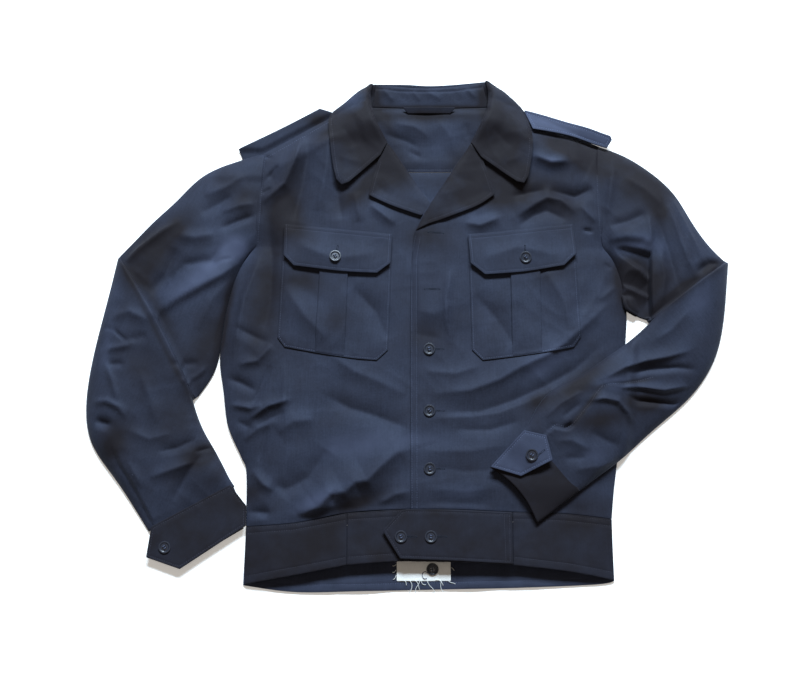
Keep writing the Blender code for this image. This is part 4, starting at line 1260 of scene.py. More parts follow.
class Surface:
    """The top of one or more pieces, as heights at x, y in the pattern's millimetres."""

    def __init__(self, *pieces):
        self.trees = []
        for piece in pieces:
            points = [v.co.copy() for v in piece.data.vertices]
            faces = [tuple(p.vertices) for p in piece.data.polygons]
            self.trees.append(BVHTree.FromPolygons(points, faces))

    def __call__(self, x, y):
        heights = np.zeros(np.shape(x))
        for i, (px, py) in enumerate(zip(np.ravel(x), np.ravel(y))):
            start = placed(px, py, LOOK_FROM)
            hits = [tree.ray_cast(start, Vector((0, 0, -1)))[0] for tree in self.trees]
            heights.flat[i] = max((hit.z for hit in hits if hit), default=0.0) / MM
        return heights


def seam(edge, start, end, by):
    """The stretch of an outline between its points nearest start and end, moved inwards."""
    edge = ccw(np.asarray(edge, float))
    first = int(np.argmin(np.hypot(*(edge - start).T)))
    turned = np.roll(edge, -first, axis=0)
    last = int(np.argmin(np.hypot(*(turned - end).T)))
    stretch = turned[:last + 1] if last else np.vstack([turned, turned[:1]])
    return inset_line(stretch, by)


# ---------------------------------------------------------------- back and fronts


def rolled_edge(x, y, line, reach, depth):
    """How far cloth has turned down near a rolled edge, as a quarter circle."""
    far = line_distance(x, y, line)[0]
    return depth * (1 - np.sqrt(1 - (1 - np.minimum(far / reach, 1)) ** 2))


def edge_lift(x, y, line, reach, rise):
    """How far a free edge stands up."""
    return rise * (1 - ease(line_distance(x, y, line)[0] / reach))


def build_back():
    """The back below the yoke seam, the yoke, and the back of the waistband."""
    wall = sizes().wall
    seam_right = (float(down(RIGHT_EDGE, YOKE_SEAM_Y)), YOKE_SEAM_Y)
    seam_left = (float(down(LEFT_EDGE, YOKE_SEAM_Y)), YOKE_SEAM_Y)
    arm_right = [tuple(p) for p in RIGHT_EDGE if 117 < p[1] < YOKE_SEAM_Y - 4]
    arm_left = [tuple(p) for p in LEFT_EDGE if 112 < p[1] < YOKE_SEAM_Y - 4]
    panel = (corners([seam_right] + arm_right + [ARMHOLE_RIGHT[-1]])
             + corners(SIDE_RIGHT)[1:]
             + corners(SIDE_LEFT[::-1])
             + corners([ARMHOLE_LEFT[-1]] + arm_left[::-1] + [seam_left])[1:])

    def flat(x, y):
        return np.full(np.shape(x), wall)

    back = lay_cloth("back", outline(panel), flat, wall, 7)

    up = YOKE_SEAM_Y + GAP
    yoke = (corners(SHOULDER_RIGHT) + corners(NECK_SEAM) + corners(SHOULDER_LEFT)
            + [(248, 232, ROUND), (247.4, up, CORNER), (-186.4, up, CORNER)])

    def yoke_top(x, y):
        inside = ease((y - up) / 14) * ease((302 - y) / 9)
        loose = np.maximum(1.6 + creased(YOKE_CREASES, x, y) + rippled(x, y), 0)
        return back_lift(x, y) + wall + inside * loose

    seam_line = [(-180, up + 3.2), (240, up + 3.2)]
    lay_cloth("back_yoke", outline(yoke), yoke_top, wall, sizes().mesh,
              grooves=((seam_line, 0.15),))

    low = [(x, y - 1.0) for x, y in (WAIST_SEAM[0], WAIST_SEAM[-1])]
    waist = corners(BACK_HEM) + [(*low[1], CORNER), (*low[0], CORNER)]
    hem_row = shifted(BACK_HEM, 0, 8)

    def band(x, y):
        near_hem = ease((across(BACK_HEM, x) + 30 - y) / 20)
        return np.maximum(1.5 + near_hem * (0.5 + rippled(x, y)), 1.5)

    lay_cloth("waistband_back", outline(waist), band, 1.5, 3.6, grooves=((hem_row, 0.3),))


def build_fronts():
    """The right front, and the left front lying over it at the placket."""
    wall, mesh = sizes().wall, sizes().mesh
    seam_y = shifted(WAIST_SEAM, 0.0, 0.2)
    right = (corners(ROLL_RIGHT)
             + [(UNDERLAP_X, 148, CORNER)]
             + corners(clipped(seam_y, seam_y[0][0], UNDERLAP_X)[::-1])
             + corners(SIDE_RIGHT[::-1])[1:]
             + corners(ARMHOLE_RIGHT[::-1])[1:]
             + corners(SHOULDER_RIGHT)[1:])
    lay_cloth("front_right", outline(right), right_top, wall, mesh,
              grooves=[(line, 0.4) for line in RIGHT_ROWS])

    left = (corners(ROLL_LEFT)
            + [(PLACKET_X, 44, ROUND)]
            + corners(clipped(seam_y, PLACKET_X, seam_y[-1][0]))
            + corners(SIDE_LEFT[::-1])[1:]
            + corners(ARMHOLE_LEFT[::-1])[1:]
            + corners(SHOULDER_LEFT[::-1])[1:])
    lay_cloth("front_left", outline(left), left_top, wall, mesh,
              grooves=[(line, 0.45) for line in LEFT_ROWS])


# Rows of stitching on the fronts: lines of x, y
RIGHT_ROWS = [
    [(-181, 236), (-184, 190), (-186, 150), (-188, 122)],
    [(-180, 234), (-101, 281), (-52, 305)],
]
LEFT_ROWS = [
    [(11.5, 128), (6.6, 100), (6.5, 44), (6.5, -214)],
    [(17.5, 126), (12.6, 98), (12.5, 44), (12.5, -214)],
    [(246, 246), (243, 210), (243, 170), (245, 135), (250, 116)],
    [(112, 305), (158, 285), (244, 246)],
]

RIGHT_SEAM_X = -72.0
LEFT_SEAM_X = 128.0
WAIST_TAB = [(-29, -241, CORNER), (-6, -216, CORNER), (0, -215, CORNER), (58, -216, ROUND),
             (127, -219, CORNER), (127, -280, CORNER), (58, -276.5, ROUND), (-8, -274, CORNER)]
TAB_END_ROW = [(117.5, -219), (119, -277)]    # the inner row at the tab's sewn end
BAND_DROPS = (2.2, 8.6, -9.0)    # rows below the waist seam, or above the hem if below zero
TAB_ROW = 3.0                    # how far inside their edges the tabs are stitched
STRAP_ROW = 3.6
POCKET_ROW = 2.2


def band_rows(low_x, high_x):
    """Rows along the waist seam and the hem between two x values."""
    rows = []
    for drop in BAND_DROPS:
        line = WAIST_SEAM if drop > 0 else FRONT_HEM
        rows.append([(x, y - drop) for x, y in clipped(line, low_x + 2, high_x - 2)])
    return rows


def build_waistband():
    """The front of the waistband in four lengths, and the pointed tab that closes it."""
    double, mesh = sizes().double, sizes().mesh
    seam_y = shifted(WAIST_SEAM, 0.0, -0.2)
    half = GAP / 2
    raised_by = double - sizes().wall
    lengths = (("right_side", seam_y[0][0], RIGHT_SEAM_X - half, right_top),
               ("right_front", RIGHT_SEAM_X + half, UNDERLAP_X, right_top),
               ("left_front", PLACKET_X, LEFT_SEAM_X - half, left_top),
               ("left_side", LEFT_SEAM_X + half, seam_y[-1][0], left_top))
    for name, low_x, high_x, level in lengths:
        top = clipped(seam_y, low_x, high_x)
        hem = clipped(FRONT_HEM, low_x, high_x)[::-1]

        def band_top(x, y, level=level):
            sag = 0.5 * np.cos(x / 6.3 + 2 * np.sin(x / 31)) * ease((across(WAIST_SEAM, x) - y) / 6)
            fade = ease((y - across(FRONT_HEM, x) - 4) / 16)
            return level(x, y) + raised_by + 0.6 * sag * fade + 0.5 * rippled(x, y)

        lay_cloth(f"waistband_{name}", outline(corners(top) + corners(hem)), band_top, double, mesh,
                  grooves=[(row, 0.35) for row in band_rows(low_x, high_x)])

    edge = outline(WAIST_TAB)

    def tab_top(x, y):
        free = ease((20 - x) / 40)
        return left_top(x, y) + raised_by + GAP + double + 1.0 * free + 0.4 * rippled(x, y)

    lay_cloth("waist_tab", edge, tab_top, double, 2.4,
              grooves=((row_inside(edge, TAB_ROW), 0.35), (TAB_END_ROW, 0.6)))


# ---------------------------------------------------------------- pockets

POCKET_THICKNESS = 1.2
PLEAT_THICKNESS = 1.2
FLAP_THICKNESS = 1.8
FLAP_CLEAR = POCKET_THICKNESS + PLEAT_THICKNESS + 3 * GAP

POCKET_RIGHT = [(-155, 128, CORNER), (-18, 116, CORNER), (-23, -19, CORNER), (-37, -32, CORNER),
                (-79, -28, ROUND), (-151, -15, CORNER), (-160, -3, CORNER)]
PLEAT_RIGHT = [(-107, 121, CORNER), (-72, 118, CORNER), (-77, -27, CORNER), (-113, -21, CORNER)]
FLAP_RIGHT = [(-154, 143, CORNER), (-18, 129, CORNER), (-20, 91, CORNER), (-37, 78, CORNER),
              (-88, 81, ROUND), (-141, 88, CORNER), (-154, 102, CORNER)]
POCKET_LEFT = [(78, 114, CORNER), (212, 126, CORNER), (216, -2, CORNER), (207, -15, CORNER),
               (169, -23, ROUND), (94, -32, CORNER), (81, -19, CORNER)]
PLEAT_LEFT = [(130, 118, CORNER), (167, 121, CORNER), (167, -22, CORNER), (131, -27, CORNER)]
FLAP_LEFT = [(77, 128, CORNER), (210, 143, CORNER), (213, 104, CORNER), (197, 88, CORNER),
             (148, 80, ROUND), (98, 76, CORNER), (80, 90, CORNER)]


def build_pockets():
    """Patch pockets with a box pleat and a flap, on both fronts."""
    mesh = sizes().mesh
    sides = (("right", right_top, POCKET_RIGHT, PLEAT_RIGHT, FLAP_RIGHT, 0.10),
             ("left", left_top, POCKET_LEFT, PLEAT_LEFT, FLAP_LEFT, -0.10))
    for side, panel, pocket, pleat, flap, grain in sides:
        pocket_edge, pleat_edge, flap_edge = (outline(rows) for rows in (pocket, pleat, flap))
        closed = np.vstack([pocket_edge, pocket_edge[:1]])
        lower = np.array([pleat[3][:2], pleat[2][:2]], float)

        def pocket_top(x, y, panel=panel, closed=closed):
            full = 0.9 * ease(line_distance(x, y, closed)[0] / 16)
            return panel(x, y) + GAP + POCKET_THICKNESS + full

        def pleat_top(x, y, pocket_top=pocket_top, lower=lower):
            free = ease(line_distance(x, y, lower)[0] / 26)
            return pocket_top(x, y) + 0.2 + (GAP + PLEAT_THICKNESS + 0.6) * free

        def flap_top(x, y, panel=panel, flap=flap):
            upper = line_distance(x, y, [flap[0][:2], flap[1][:2]])[0]
            opened = 2.6 * ease(upper / 50)
            wave = 0.4 * np.sin(x / 17.0 + 1.2) * ease(upper / 40)
            return panel(x, y) + FLAP_CLEAR + FLAP_THICKNESS + opened + wave - 0.6

        lay_cloth(f"pocket_{side}", pocket_edge, pocket_top, POCKET_THICKNESS, mesh,
                  grain, ((row_inside(pocket_edge, POCKET_ROW), 0.3),))
        lay_cloth(f"pocket_pleat_{side}", pleat_edge, pleat_top, PLEAT_THICKNESS, mesh,
                  grain)
        lay_cloth(f"pocket_flap_{side}", flap_edge, flap_top, FLAP_THICKNESS, 2.2,
                  grain,
                  [(row, 0.14) for row in flap_rows(flap_edge, flap)])


def flap_rows(edge, flap):
    """Rows of stitching on a flap: two under its top edge, one round the others."""
    (x0, y0), (x1, y1) = flap[0][:2], flap[1][:2]
    rows = [[(x0 + 1.5, y0 - drop), (x1 - 1.5, y1 - drop)] for drop in (1.8, 6.2)]
    rows.append(seam(edge, flap[0][:2], flap[1][:2], 3.2))
    return rows


# ---------------------------------------------------------------- lapels and collar

LAPEL_RIGHT = (corners([(-24, 251), (-13, 237), (2, 213), (15, 193), (30, 170)])
               + [(24, 156, CORNER), (18, 154, CORNER), (-19, 167, ROUND), (-48, 181, CORNER),
                  (-43, 202, ROUND), (-36, 227, CORNER)])
LAPEL_LEFT = (corners([(82, 250), (78, 243), (63, 221), (48, 196), (31, 171), (20, 153), (10, 133)])
              + [(28, 142, ROUND), (52, 150, ROUND), (89, 166, ROUND), (112, 182, CORNER),
                 (103, 212, ROUND), (97, 229, CORNER)])
LEAF_RIGHT = [(-33, 234, CORNER), (-24, 252, CORNER), (-37, 277, ROUND), (-44, 301, ROUND),
              (-46, 322, ROUND), (-43, 336, CORNER), (-47, 335, CORNER), (-61, 324, ROUND),
              (-79, 308, ROUND),
              (-94, 297, ROUND), (-100, 286, ROUND), (-98, 260, ROUND), (-94, 224, ROUND),
              (-89, 201, CORNER), (-82, 194, CORNER), (-73, 197, CORNER)]
LEAF_LEFT = [(95, 231, CORNER), (82, 251, CORNER), (92, 270, ROUND), (103, 295, ROUND),
             (106, 322, ROUND), (102, 340, CORNER), (106.5, 339, CORNER), (126, 323, ROUND),
             (148, 302, ROUND),
             (158, 283, ROUND), (161, 256, ROUND), (160, 235, ROUND), (155, 206, CORNER),
             (149, 196, CORNER), (140, 198, CORNER)]
FALL_BACK = [(-44, 335.5, CORNER), (0, 335, ROUND), (29, 333.5, ROUND), (62, 335, ROUND),
             (103, 339, CORNER), (122, 324, ROUND), (132, 302, ROUND), (106, 290, ROUND),
             (29, 283, ROUND), (-46, 290, ROUND), (-72, 302, ROUND), (-60, 322, ROUND)]
LEAF_CLEAR = 2 * GAP + 1.4
ROLL_Y = 318.0
ROLL_RISE = 4.6
STAND_RISE = 3.2
# The rolled, outer and free edges of the collar's leaves
LEAF_ROLLS = ([(-24, 252), (-37, 277), (-44, 301), (-46, 322), (-42, 338)],
              [(82, 251), (92, 270), (103, 295), (106, 322), (101, 342)])
LEAF_SHOULDERS = ([(-42, 338), (-61, 324), (-79, 308), (-94, 297), (-101, 286)],
                  [(101, 342), (126, 323), (148, 302), (158, 283), (162, 256)])


# Rows of stitching round the free edges of the lapels and the leaves
LAPEL_ROWS = (seam(outline(LAPEL_RIGHT), (-36, 227), (18, 154), 4.0),
              seam(outline(LAPEL_LEFT), (28, 142), (97, 229), 4.0))
LEAF_ROWS = (seam(outline(LEAF_RIGHT), (-100, 286), (-33, 234), 4.2),
             seam(outline(LEAF_LEFT), (95, 231), (161, 256), 4.2))
COLLAR_STANDS = 10.0    # how high the rolled edge stands above the shoulders


def stood_up(x, y, roll):
    """How far the collar stands up at its roll, coming to nothing where the lapels begin."""
    near = 1 - line_distance(x, y, roll)[0] / 64
    return COLLAR_STANDS * ease((y - 236) / 46) * ease((341 - y) / 30) * np.clip(near, 0, 1) ** 1.3


def build_lapels():
    """The facings turned out below the collar."""
    wall = sizes().wall
    sides = (("right", LAPEL_RIGHT, right_top, ROLL_RIGHT, LAPEL_ROWS[0]),
             ("left", LAPEL_LEFT, left_top, ROLL_LEFT, LAPEL_ROWS[1]))
    for side, rows, panel, roll, stitched in sides:
        free = np.array([row[:2] for row in rows[-5:-1]], float)

        def lapel_top(x, y, panel=panel, roll=roll, free=free):
            body = panel(x, y) + GAP + wall
            lift = edge_lift(x, y, free, 14, 1.4) + 0.9 * ease(line_distance(x, y, roll)[0] / 9)
            turned = rolled_edge(x, y, roll, 3.6, 3.4)
            return body + lift + stood_up(x, y, roll) + 0.6 * creased(COLLAR_CREASES, x, y) - turned

        lay_cloth(f"lapel_{side}", outline(rows), lapel_top, wall, 2.2,
                  0.5, ((stitched, 0.12),))


def build_collar():
    """The fall, turned down all round the neck, its stand and the hanger loop."""
    wall, double = sizes().wall, sizes().double
    sides = (("right", LEAF_RIGHT, right_top, LEAF_ROLLS[0], LEAF_SHOULDERS[0], 0.6, LEAF_ROWS[0]),
             ("left", LEAF_LEFT, left_top, LEAF_ROLLS[1], LEAF_SHOULDERS[1], -0.6, LEAF_ROWS[1]))
    for side, rows, panel, roll, shoulder, grain, stitched in sides:
        point = np.array([row[:2] for row in rows[-3:]], float)

        def leaf_top(x, y, panel=panel, roll=roll, shoulder=shoulder, point=point):
            body = panel(x, y) + LEAF_CLEAR + double
            lift = edge_lift(x, y, point, 26, 1.6) + 1.4 * ease(line_distance(x, y, roll)[0] / 18)
            up = stood_up(x, y, roll)
            closed = 4.5 * ease((y - 298) / 14)
            turned = rolled_edge(x, y, roll, 8, 4.6 + 0.85 * up + closed)
            turned = turned + rolled_edge(x, y, shoulder, 9, 5.0)
            low = back_lift(x, y) + 2 * wall + 0.6 + double
            return np.maximum(body + up + lift + creased(COLLAR_CREASES, x, y) - turned, low)

        lay_cloth(f"collar_fall_{side}", outline(rows), leaf_top, double, 2.4,
                  grain, ((stitched, 0.15),))

    def rolled(x, y):
        return double + ROLL_RISE * ease((y - ROLL_Y) / 18)

    lay_cloth("collar_fall_back", outline(FALL_BACK), rolled, double, 2.6)

    rows = (corners(shifted(NECK_SEAM, 0.0, GAP))
            + corners([(99, 336), (62, 331), (29, 329), (0, 330), (-39, 334)]))

    def stand(x, y):
        inside = ease((y - 303) / 6) * ease((330 - y) / 4)
        rise = NECK_LIFT + STAND_RISE * ease((y - 300) / 30) + GAP + wall
        return rise + inside * np.maximum(creased(STAND_CREASES, x, y) + 0.3, 0)

    joined = smooth_line([(-38, 328), (-6, 325), (29, 324), (64, 325.5), (97, 330)])
    lay_cloth("collar_stand", outline(rows), stand, wall, 2.0, 1.2,
              ((joined, 0.8),))

    loop = [(-5, 302.5, CORNER), (64, 302.5, CORNER), (57, 294.5, CORNER), (2, 294.5, CORNER)]

    def loop_top(x, y):
        middle = 0.9 * np.exp(-((x - 29) / 18) ** 2)
        tipped = 0.34 * (y - 298)
        return back_lift(x, y) + 2 * wall + 2.8 + middle + tipped

    lay_cloth("hanger_loop", outline(loop), loop_top, 1.2, 1.8, 0.2)


EPAULETTE_RIGHT = [(-112, 303, CORNER), (-93, 297, CORNER), (-97, 272, CORNER), (-196, 219, CORNER),
                   (-207, 226, CORNER), (-216, 248, CORNER), (-161, 276, ROUND)]
EPAULETTE_LEFT = [(151.6, 298, CORNER), (176, 291, ROUND), (204, 282, ROUND), (235, 273, ROUND),
                  (262, 263, CORNER), (264, 258, CORNER), (257, 247, CORNER), (214, 261, ROUND),
                  (186, 266, ROUND), (161.6, 269, CORNER)]


STRAP_THICK = 1.8
STRAP_CLEAR = 3.8     # the left strap's underside over the left front


def build_epaulettes():
    """Shoulder straps: the right one has slipped behind the shoulder, the left one lies on it."""
    def slipped(x, y):
        outside = -shoulder_drop(x, y)
        return 1.4 + 3.2 * ease((outside - 2) / 9)

    lay_cloth("epaulette_right", outline(EPAULETTE_RIGHT), slipped, 1.4, 2.4, grain=0.5)

    def on_shoulder(x, y):
        over_seam = 0.8 * ease((x - 250) / 10)
        return left_top(x, y) + STRAP_CLEAR + STRAP_THICK + over_seam + 0.5 * rippled(x, y)

    edge = outline(EPAULETTE_LEFT)
    lay_cloth("epaulette_left", edge, on_shoulder, STRAP_THICK, 2.4,
              -0.4,
              ((row_inside(edge, STRAP_ROW), 0.35),))


# ---------------------------------------------------------------- sleeves

CUFF_TAB_RIGHT = [(-309, -235, CORNER), (-257, -207, ROUND), (-215, -184.5, CORNER),
                  (-194.6, -210, CORNER), (-194.6, -234, CORNER), (-273, -286, CORNER),
                  (-314, -272, CORNER)]
CUFF_TAB_LEFT = [(101, -165, CORNER), (142, -121, CORNER), (169, -127, CORNER),
                 (176, -157, CORNER), (138, -176, CORNER)]
CUFF_THICK = 6.8
RIGHT_CUFF_TOP = 6.4
SLEEVE_END_THICK = 4.7


def build_sleeves():
    """Both sleeves folded at the elbow, their cuffs and the pointed cuff ends."""
    double = sizes().double
    lay_tube("sleeve_right", (UPPER_RIGHT, FORE_RIGHT), back_lift, shape_right, 0.35)
    lay_tube("sleeve_left", (UPPER_LEFT, FORE_LEFT), over_left_front, shape_left, -0.6)

    def plain(x, y, top, hold):
        return top + hold * 0.5 * rippled(x, y)

    lay_tube("cuff_right", (HAND_RIGHT,), back_lift, plain, 0.5)
    lay_tube("cuff_left", (HAND_LEFT,), over_left_front, plain, -0.7)

    def right_tab(x, y):
        return RIGHT_CUFF_TOP + double + 0.5 * rippled(x, y)

    def left_tab(x, y):
        towards_arm = ease((x + y + 34) / 40)
        return left_level(x, y) + TUCK + CUFF_THICK + SLEEVE_END_THICK * towards_arm + double

    for side, rows, top, grain in (("right", CUFF_TAB_RIGHT, right_tab, 0.5),
                                   ("left", CUFF_TAB_LEFT, left_tab, -0.7)):
        edge = outline(rows)
        lay_cloth(f"cuff_tab_{side}", edge, top, double, 2.4, grain,
                  ((row_inside(edge, TAB_ROW), 0.35),))


def build_label():
    """A blank label inside the back of the waistband."""
    rows = [(-12, -256, CORNER), (53, -256, CORNER), (53, -300, CORNER), (-12, -300, CORNER)]

    def label_top(x, y):
        return 2.5 + 0.6 * ease((y + 300) / 6) + 0.25 * np.sin(x / 9.0)

    lay_cloth("label", outline(rows), label_top, 0.6, 2.4,
              finish=label_finish())

    ends = []
    for x, y, turn, length in LOOSE_THREADS:
        far = np.linspace(0, 1, 9)
        bend = turn + 0.7 * np.sin(3.0 * far + x)
        steps = np.column_stack([np.sin(bend), -np.cos(bend)]) * length / 8
        path = np.array([x, y]) + np.cumsum(steps, axis=0)
        height = 3.0 - 0.6 * ease(far * length / 9)
        ends.append(strand(np.column_stack([path, height]), 0.34))
    sewn("label_threads", ends, thread("white"))
    turn = np.linspace(0.5, 5.4, 22)
    loop = np.column_stack([22 + 3.4 * np.cos(turn), -293 + 4.2 * np.sin(turn),
                            4.0 + 0.4 * np.sin(turn)])
    sewn("label_loop", [strand(loop, 0.34)], thread())


# White thread ends hanging from the label: x, y, turn in radians and length
LOOSE_THREADS = [(2, -298, 0.2, 17), (9, -299, 0.9, 13), (16, -298, 0.1, 16), (17, -299, 1.0, 8),
                 (25, -298, 0.1, 17), (33, -299, 1.0, 13), (42, -298, 0.5, 17), (-4, -299, 0.8, 7),
                 (-12, -286, -1.3, 6), (-12, -280, -1.6, 5), (-12, -292, -1.0, 7),
                 (53, -284, 1.3, 5), (50, -299, 0.7, 9)]


def label_finish():
    """Blank white satin ribbon."""
    return woven_finish("label_satin", tuple(colours().label), gloss=0.3, uneven=0.06,
                        drifting=0.0)


# ---------------------------------------------------------------- buttons

BUTTON_HEIGHT = 2.6
HOLE_RADIUS = 0.85
HOLE_APART = 1.45
HOLE_SPREAD = 1.3
# Where each button is sewn: node, x, y, the pieces under it, and how far it is turned
BUTTONS = [
    ("button_front_1", 28, 131, ("cloth_front_right",), 0.3),
    ("button_front_2", 28, 58, ("cloth_front_right",), 0.9),
    ("button_front_3", 28, -18, ("cloth_front_left",), 0.2),
    ("button_front_4", 28, -95, ("cloth_front_left",), 0.7),
    ("button_front_5", 28, -166, ("cloth_front_left",), 0.1),
    ("button_flap_right", -89, 99, ("cloth_pocket_flap_right",), 0.5),
    ("button_flap_left", 149, 98, ("cloth_pocket_flap_left",), 0.8),
    ("button_waist_1", -7, -248, ("cloth_waist_tab",), 0.4),
    ("button_waist_2", 29, -248, ("cloth_waist_tab",), 0.0),
    ("button_cuff_right", -292, -260, ("cloth_cuff_tab_right",), 0.6),
    ("button_cuff_left", 151, -151, ("cloth_cuff_tab_left",), 1.1),
    ("button_spare", 31, -286, ("cloth_label",), 0.2),
]


def select_faces(piece, wanted):
    """In edit mode, select the faces for which wanted(centre, normal) is true."""
    data = bmesh.from_edit_mesh(piece.data)
    for face in data.faces:
        face.select = bool(wanted(face.calc_center_median(), face.normal))
    data.select_flush(False)
    data.select_flush(True)
    bmesh.update_edit_mesh(piece.data)


def model_button():
    """One button: a disc with a raised rim, a sunk middle and four holes."""
    bpy.ops.object.select_all(action="DESELECT")
    radius, height = sizes().button * MM, BUTTON_HEIGHT * MM
    bpy.ops.mesh.primitive_cylinder_add(vertices=48, radius=radius - 0.9 * MM, depth=height,
                                        location=(0, 0, height / 2))
    disc = bpy.context.object
    disc.name = "button_pattern"
    bpy.ops.object.mode_set(mode="EDIT")
    bpy.ops.mesh.select_mode(type="FACE")
    select_faces(disc, lambda c, n: n.z > 0.9)
    bpy.ops.transform.resize(value=(1.135, 1.135, 1))
    bpy.ops.mesh.inset(thickness=1.9 * MM, depth=0)
    bpy.ops.mesh.inset(thickness=0.7 * MM, depth=-0.85 * MM)
    bpy.ops.mesh.inset(thickness=1.4 * MM, depth=0.12 * MM)
    bpy.ops.object.mode_set(mode="OBJECT")
    soft = disc.modifiers.new("Rim", "BEVEL")
    soft.width, soft.segments, soft.angle_limit = 0.5 * MM, 3, math.radians(25)
    apply_modifier(disc, soft)
    for turn in range(4):
        angle = math.pi / 4 + turn * math.pi / 2
        bpy.ops.object.select_all(action="DESELECT")
        bpy.ops.mesh.primitive_cylinder_add(
            vertices=16, radius=HOLE_RADIUS * MM, depth=3 * height,
            location=(HOLE_APART * math.cos(angle) * MM * HOLE_SPREAD,
                      HOLE_APART * math.sin(angle) * MM * HOLE_SPREAD, height / 2))
        drill = bpy.context.object
        hole = disc.modifiers.new("Hole", "BOOLEAN")
        hole.object, hole.operation, hole.solver = drill, "DIFFERENCE", "EXACT"
        apply_modifier(disc, hole)
        bpy.data.objects.remove(drill, do_unlink=True)
    disc.data.materials.clear()
    disc.data.materials.append(button_finish())
    select_only(disc)
    bpy.ops.object.shade_smooth_by_angle(angle=math.radians(38))
    return disc


def seat_of(x, y, top, radius):
    """Matrix that sets something on the cloth at x, y, level with the cloth round it."""
    turn = np.arange(8) * math.pi / 4
    rx, ry = x + radius * np.cos(turn), y + radius * np.sin(turn)
    heights = top(rx, ry)
    slope_x = (heights * np.cos(turn)).sum() / 4 / radius
    slope_y = (heights * np.sin(turn)).sum() / 4 / radius
    normal = Vector((-slope_x, -slope_y, 1)).normalized()
    plane = slope_x * (rx - x) + slope_y * (ry - y)
    base = float(np.max(heights - plane)) + 0.25
    place = placed(x, y, base)
    tilt = Vector((0, 0, 1)).rotation_difference(normal).to_matrix().to_4x4()
    return Matrix.Translation(place) @ tilt


def build_buttons():
    """Twelve four-hole buttons, sewn on with thread."""
    pattern = model_button()
    bars = []
    for node, x, y, under, turn in BUTTONS:
        seat = seat_of(x, y, Surface(*(bpy.data.objects[name] for name in under)), 6.0)
        seat = seat @ Matrix.Rotation(turn, 4, "Z")
        mesh = pattern.data.copy()
        mesh.transform(seat)
        settle(link_new(f"sewn_{node}", mesh), (node,))
        reach = HOLE_APART * HOLE_SPREAD * 0.7071
        for side in (-1, 1):
            path = [(-reach, side * reach, 0.4), (-reach, side * reach, 2.1),
                    (-reach * 0.7, side * reach, 2.45), (reach * 0.7, side * reach, 2.45),
                    (reach, side * reach, 2.1), (reach, side * reach, 0.4)]
            points, faces = strand(path, 0.42)
            moved = [(seat @ Vector(p * MM)) / MM for p in points]
            bars.append((np.array([tuple(p) for p in moved]) + (*LAID_CENTRE, 0.0), faces))
    bpy.data.objects.remove(pattern, do_unlink=True)
    sewn("button_threads", bars, thread())


def strand(path, radius):
    """Points and faces of a thread with five sides along a path."""
    path = np.asarray(path, float)
    ahead = np.gradient(path, axis=0)
    ahead /= np.maximum(np.linalg.norm(ahead, axis=1), 1e-9)[:, None]
    aside = np.cross(ahead, (0.31, 0.17, 0.93))
    aside /= np.maximum(np.linalg.norm(aside, axis=1), 1e-9)[:, None]
    upward = np.cross(aside, ahead)
    turn = np.arange(5) * 2 * math.pi / 5
    points = (path[:, None] + radius * (np.cos(turn)[None, :, None] * aside[:, None]
                                        + np.sin(turn)[None, :, None] * upward[:, None]))
    count = len(path)
    faces = [[5 * i + k, 5 * i + (k + 1) % 5, 5 * i + 5 + (k + 1) % 5, 5 * i + 5 + k]
             for i in range(count - 1) for k in range(5)]
    faces += [[4, 3, 2, 1, 0], [5 * count - 5 + k for k in range(5)]]
    return points.reshape(-1, 3), [f[::-1] for f in faces]


# ---------------------------------------------------------------- stitching and buttonholes

# Buttonholes: x, y, turn in degrees, the piece they are worked in
HOLES = [
    (37, 131, -4, "cloth_front_left"), (32, 58, 0, "cloth_front_left"),
    (36.5, -18, 2, "cloth_front_left"), (36.5, -95, 0, "cloth_front_left"),
    (36.5, -166, 0, "cloth_front_left"),
    (-87, 104, 84, "cloth_pocket_flap_right"), (148.5, 104, 92, "cloth_pocket_flap_left"),
    (159, -151, 40, "cloth_cuff_tab_left"), (2.4, -248, 0, "cloth_waist_tab"),
    (38.4, -248, 0, "cloth_waist_tab"),
]
HOLE_LENGTH = 19.0


def build_buttonholes():
    """Worked buttonholes in the left front, the flaps, the waist tab and the left cuff, with
    painted shade in their slits.
    """
    worked, slit_shade_strips = [], []
    for x, y, turn, name in HOLES:
        top = Surface(bpy.data.objects[name])
        worked += buttonhole(x, y, math.radians(turn), HOLE_LENGTH, top)
        slit_shade_strips.append(hole_shade(x, y, math.radians(turn), HOLE_LENGTH, top))
    sewn("buttonhole_edges", worked, thread("hole"))
    # The slits are near-black strips of painted shade.
    sewn("buttonhole_slits", slit_shade_strips, thread("hole_shade"))


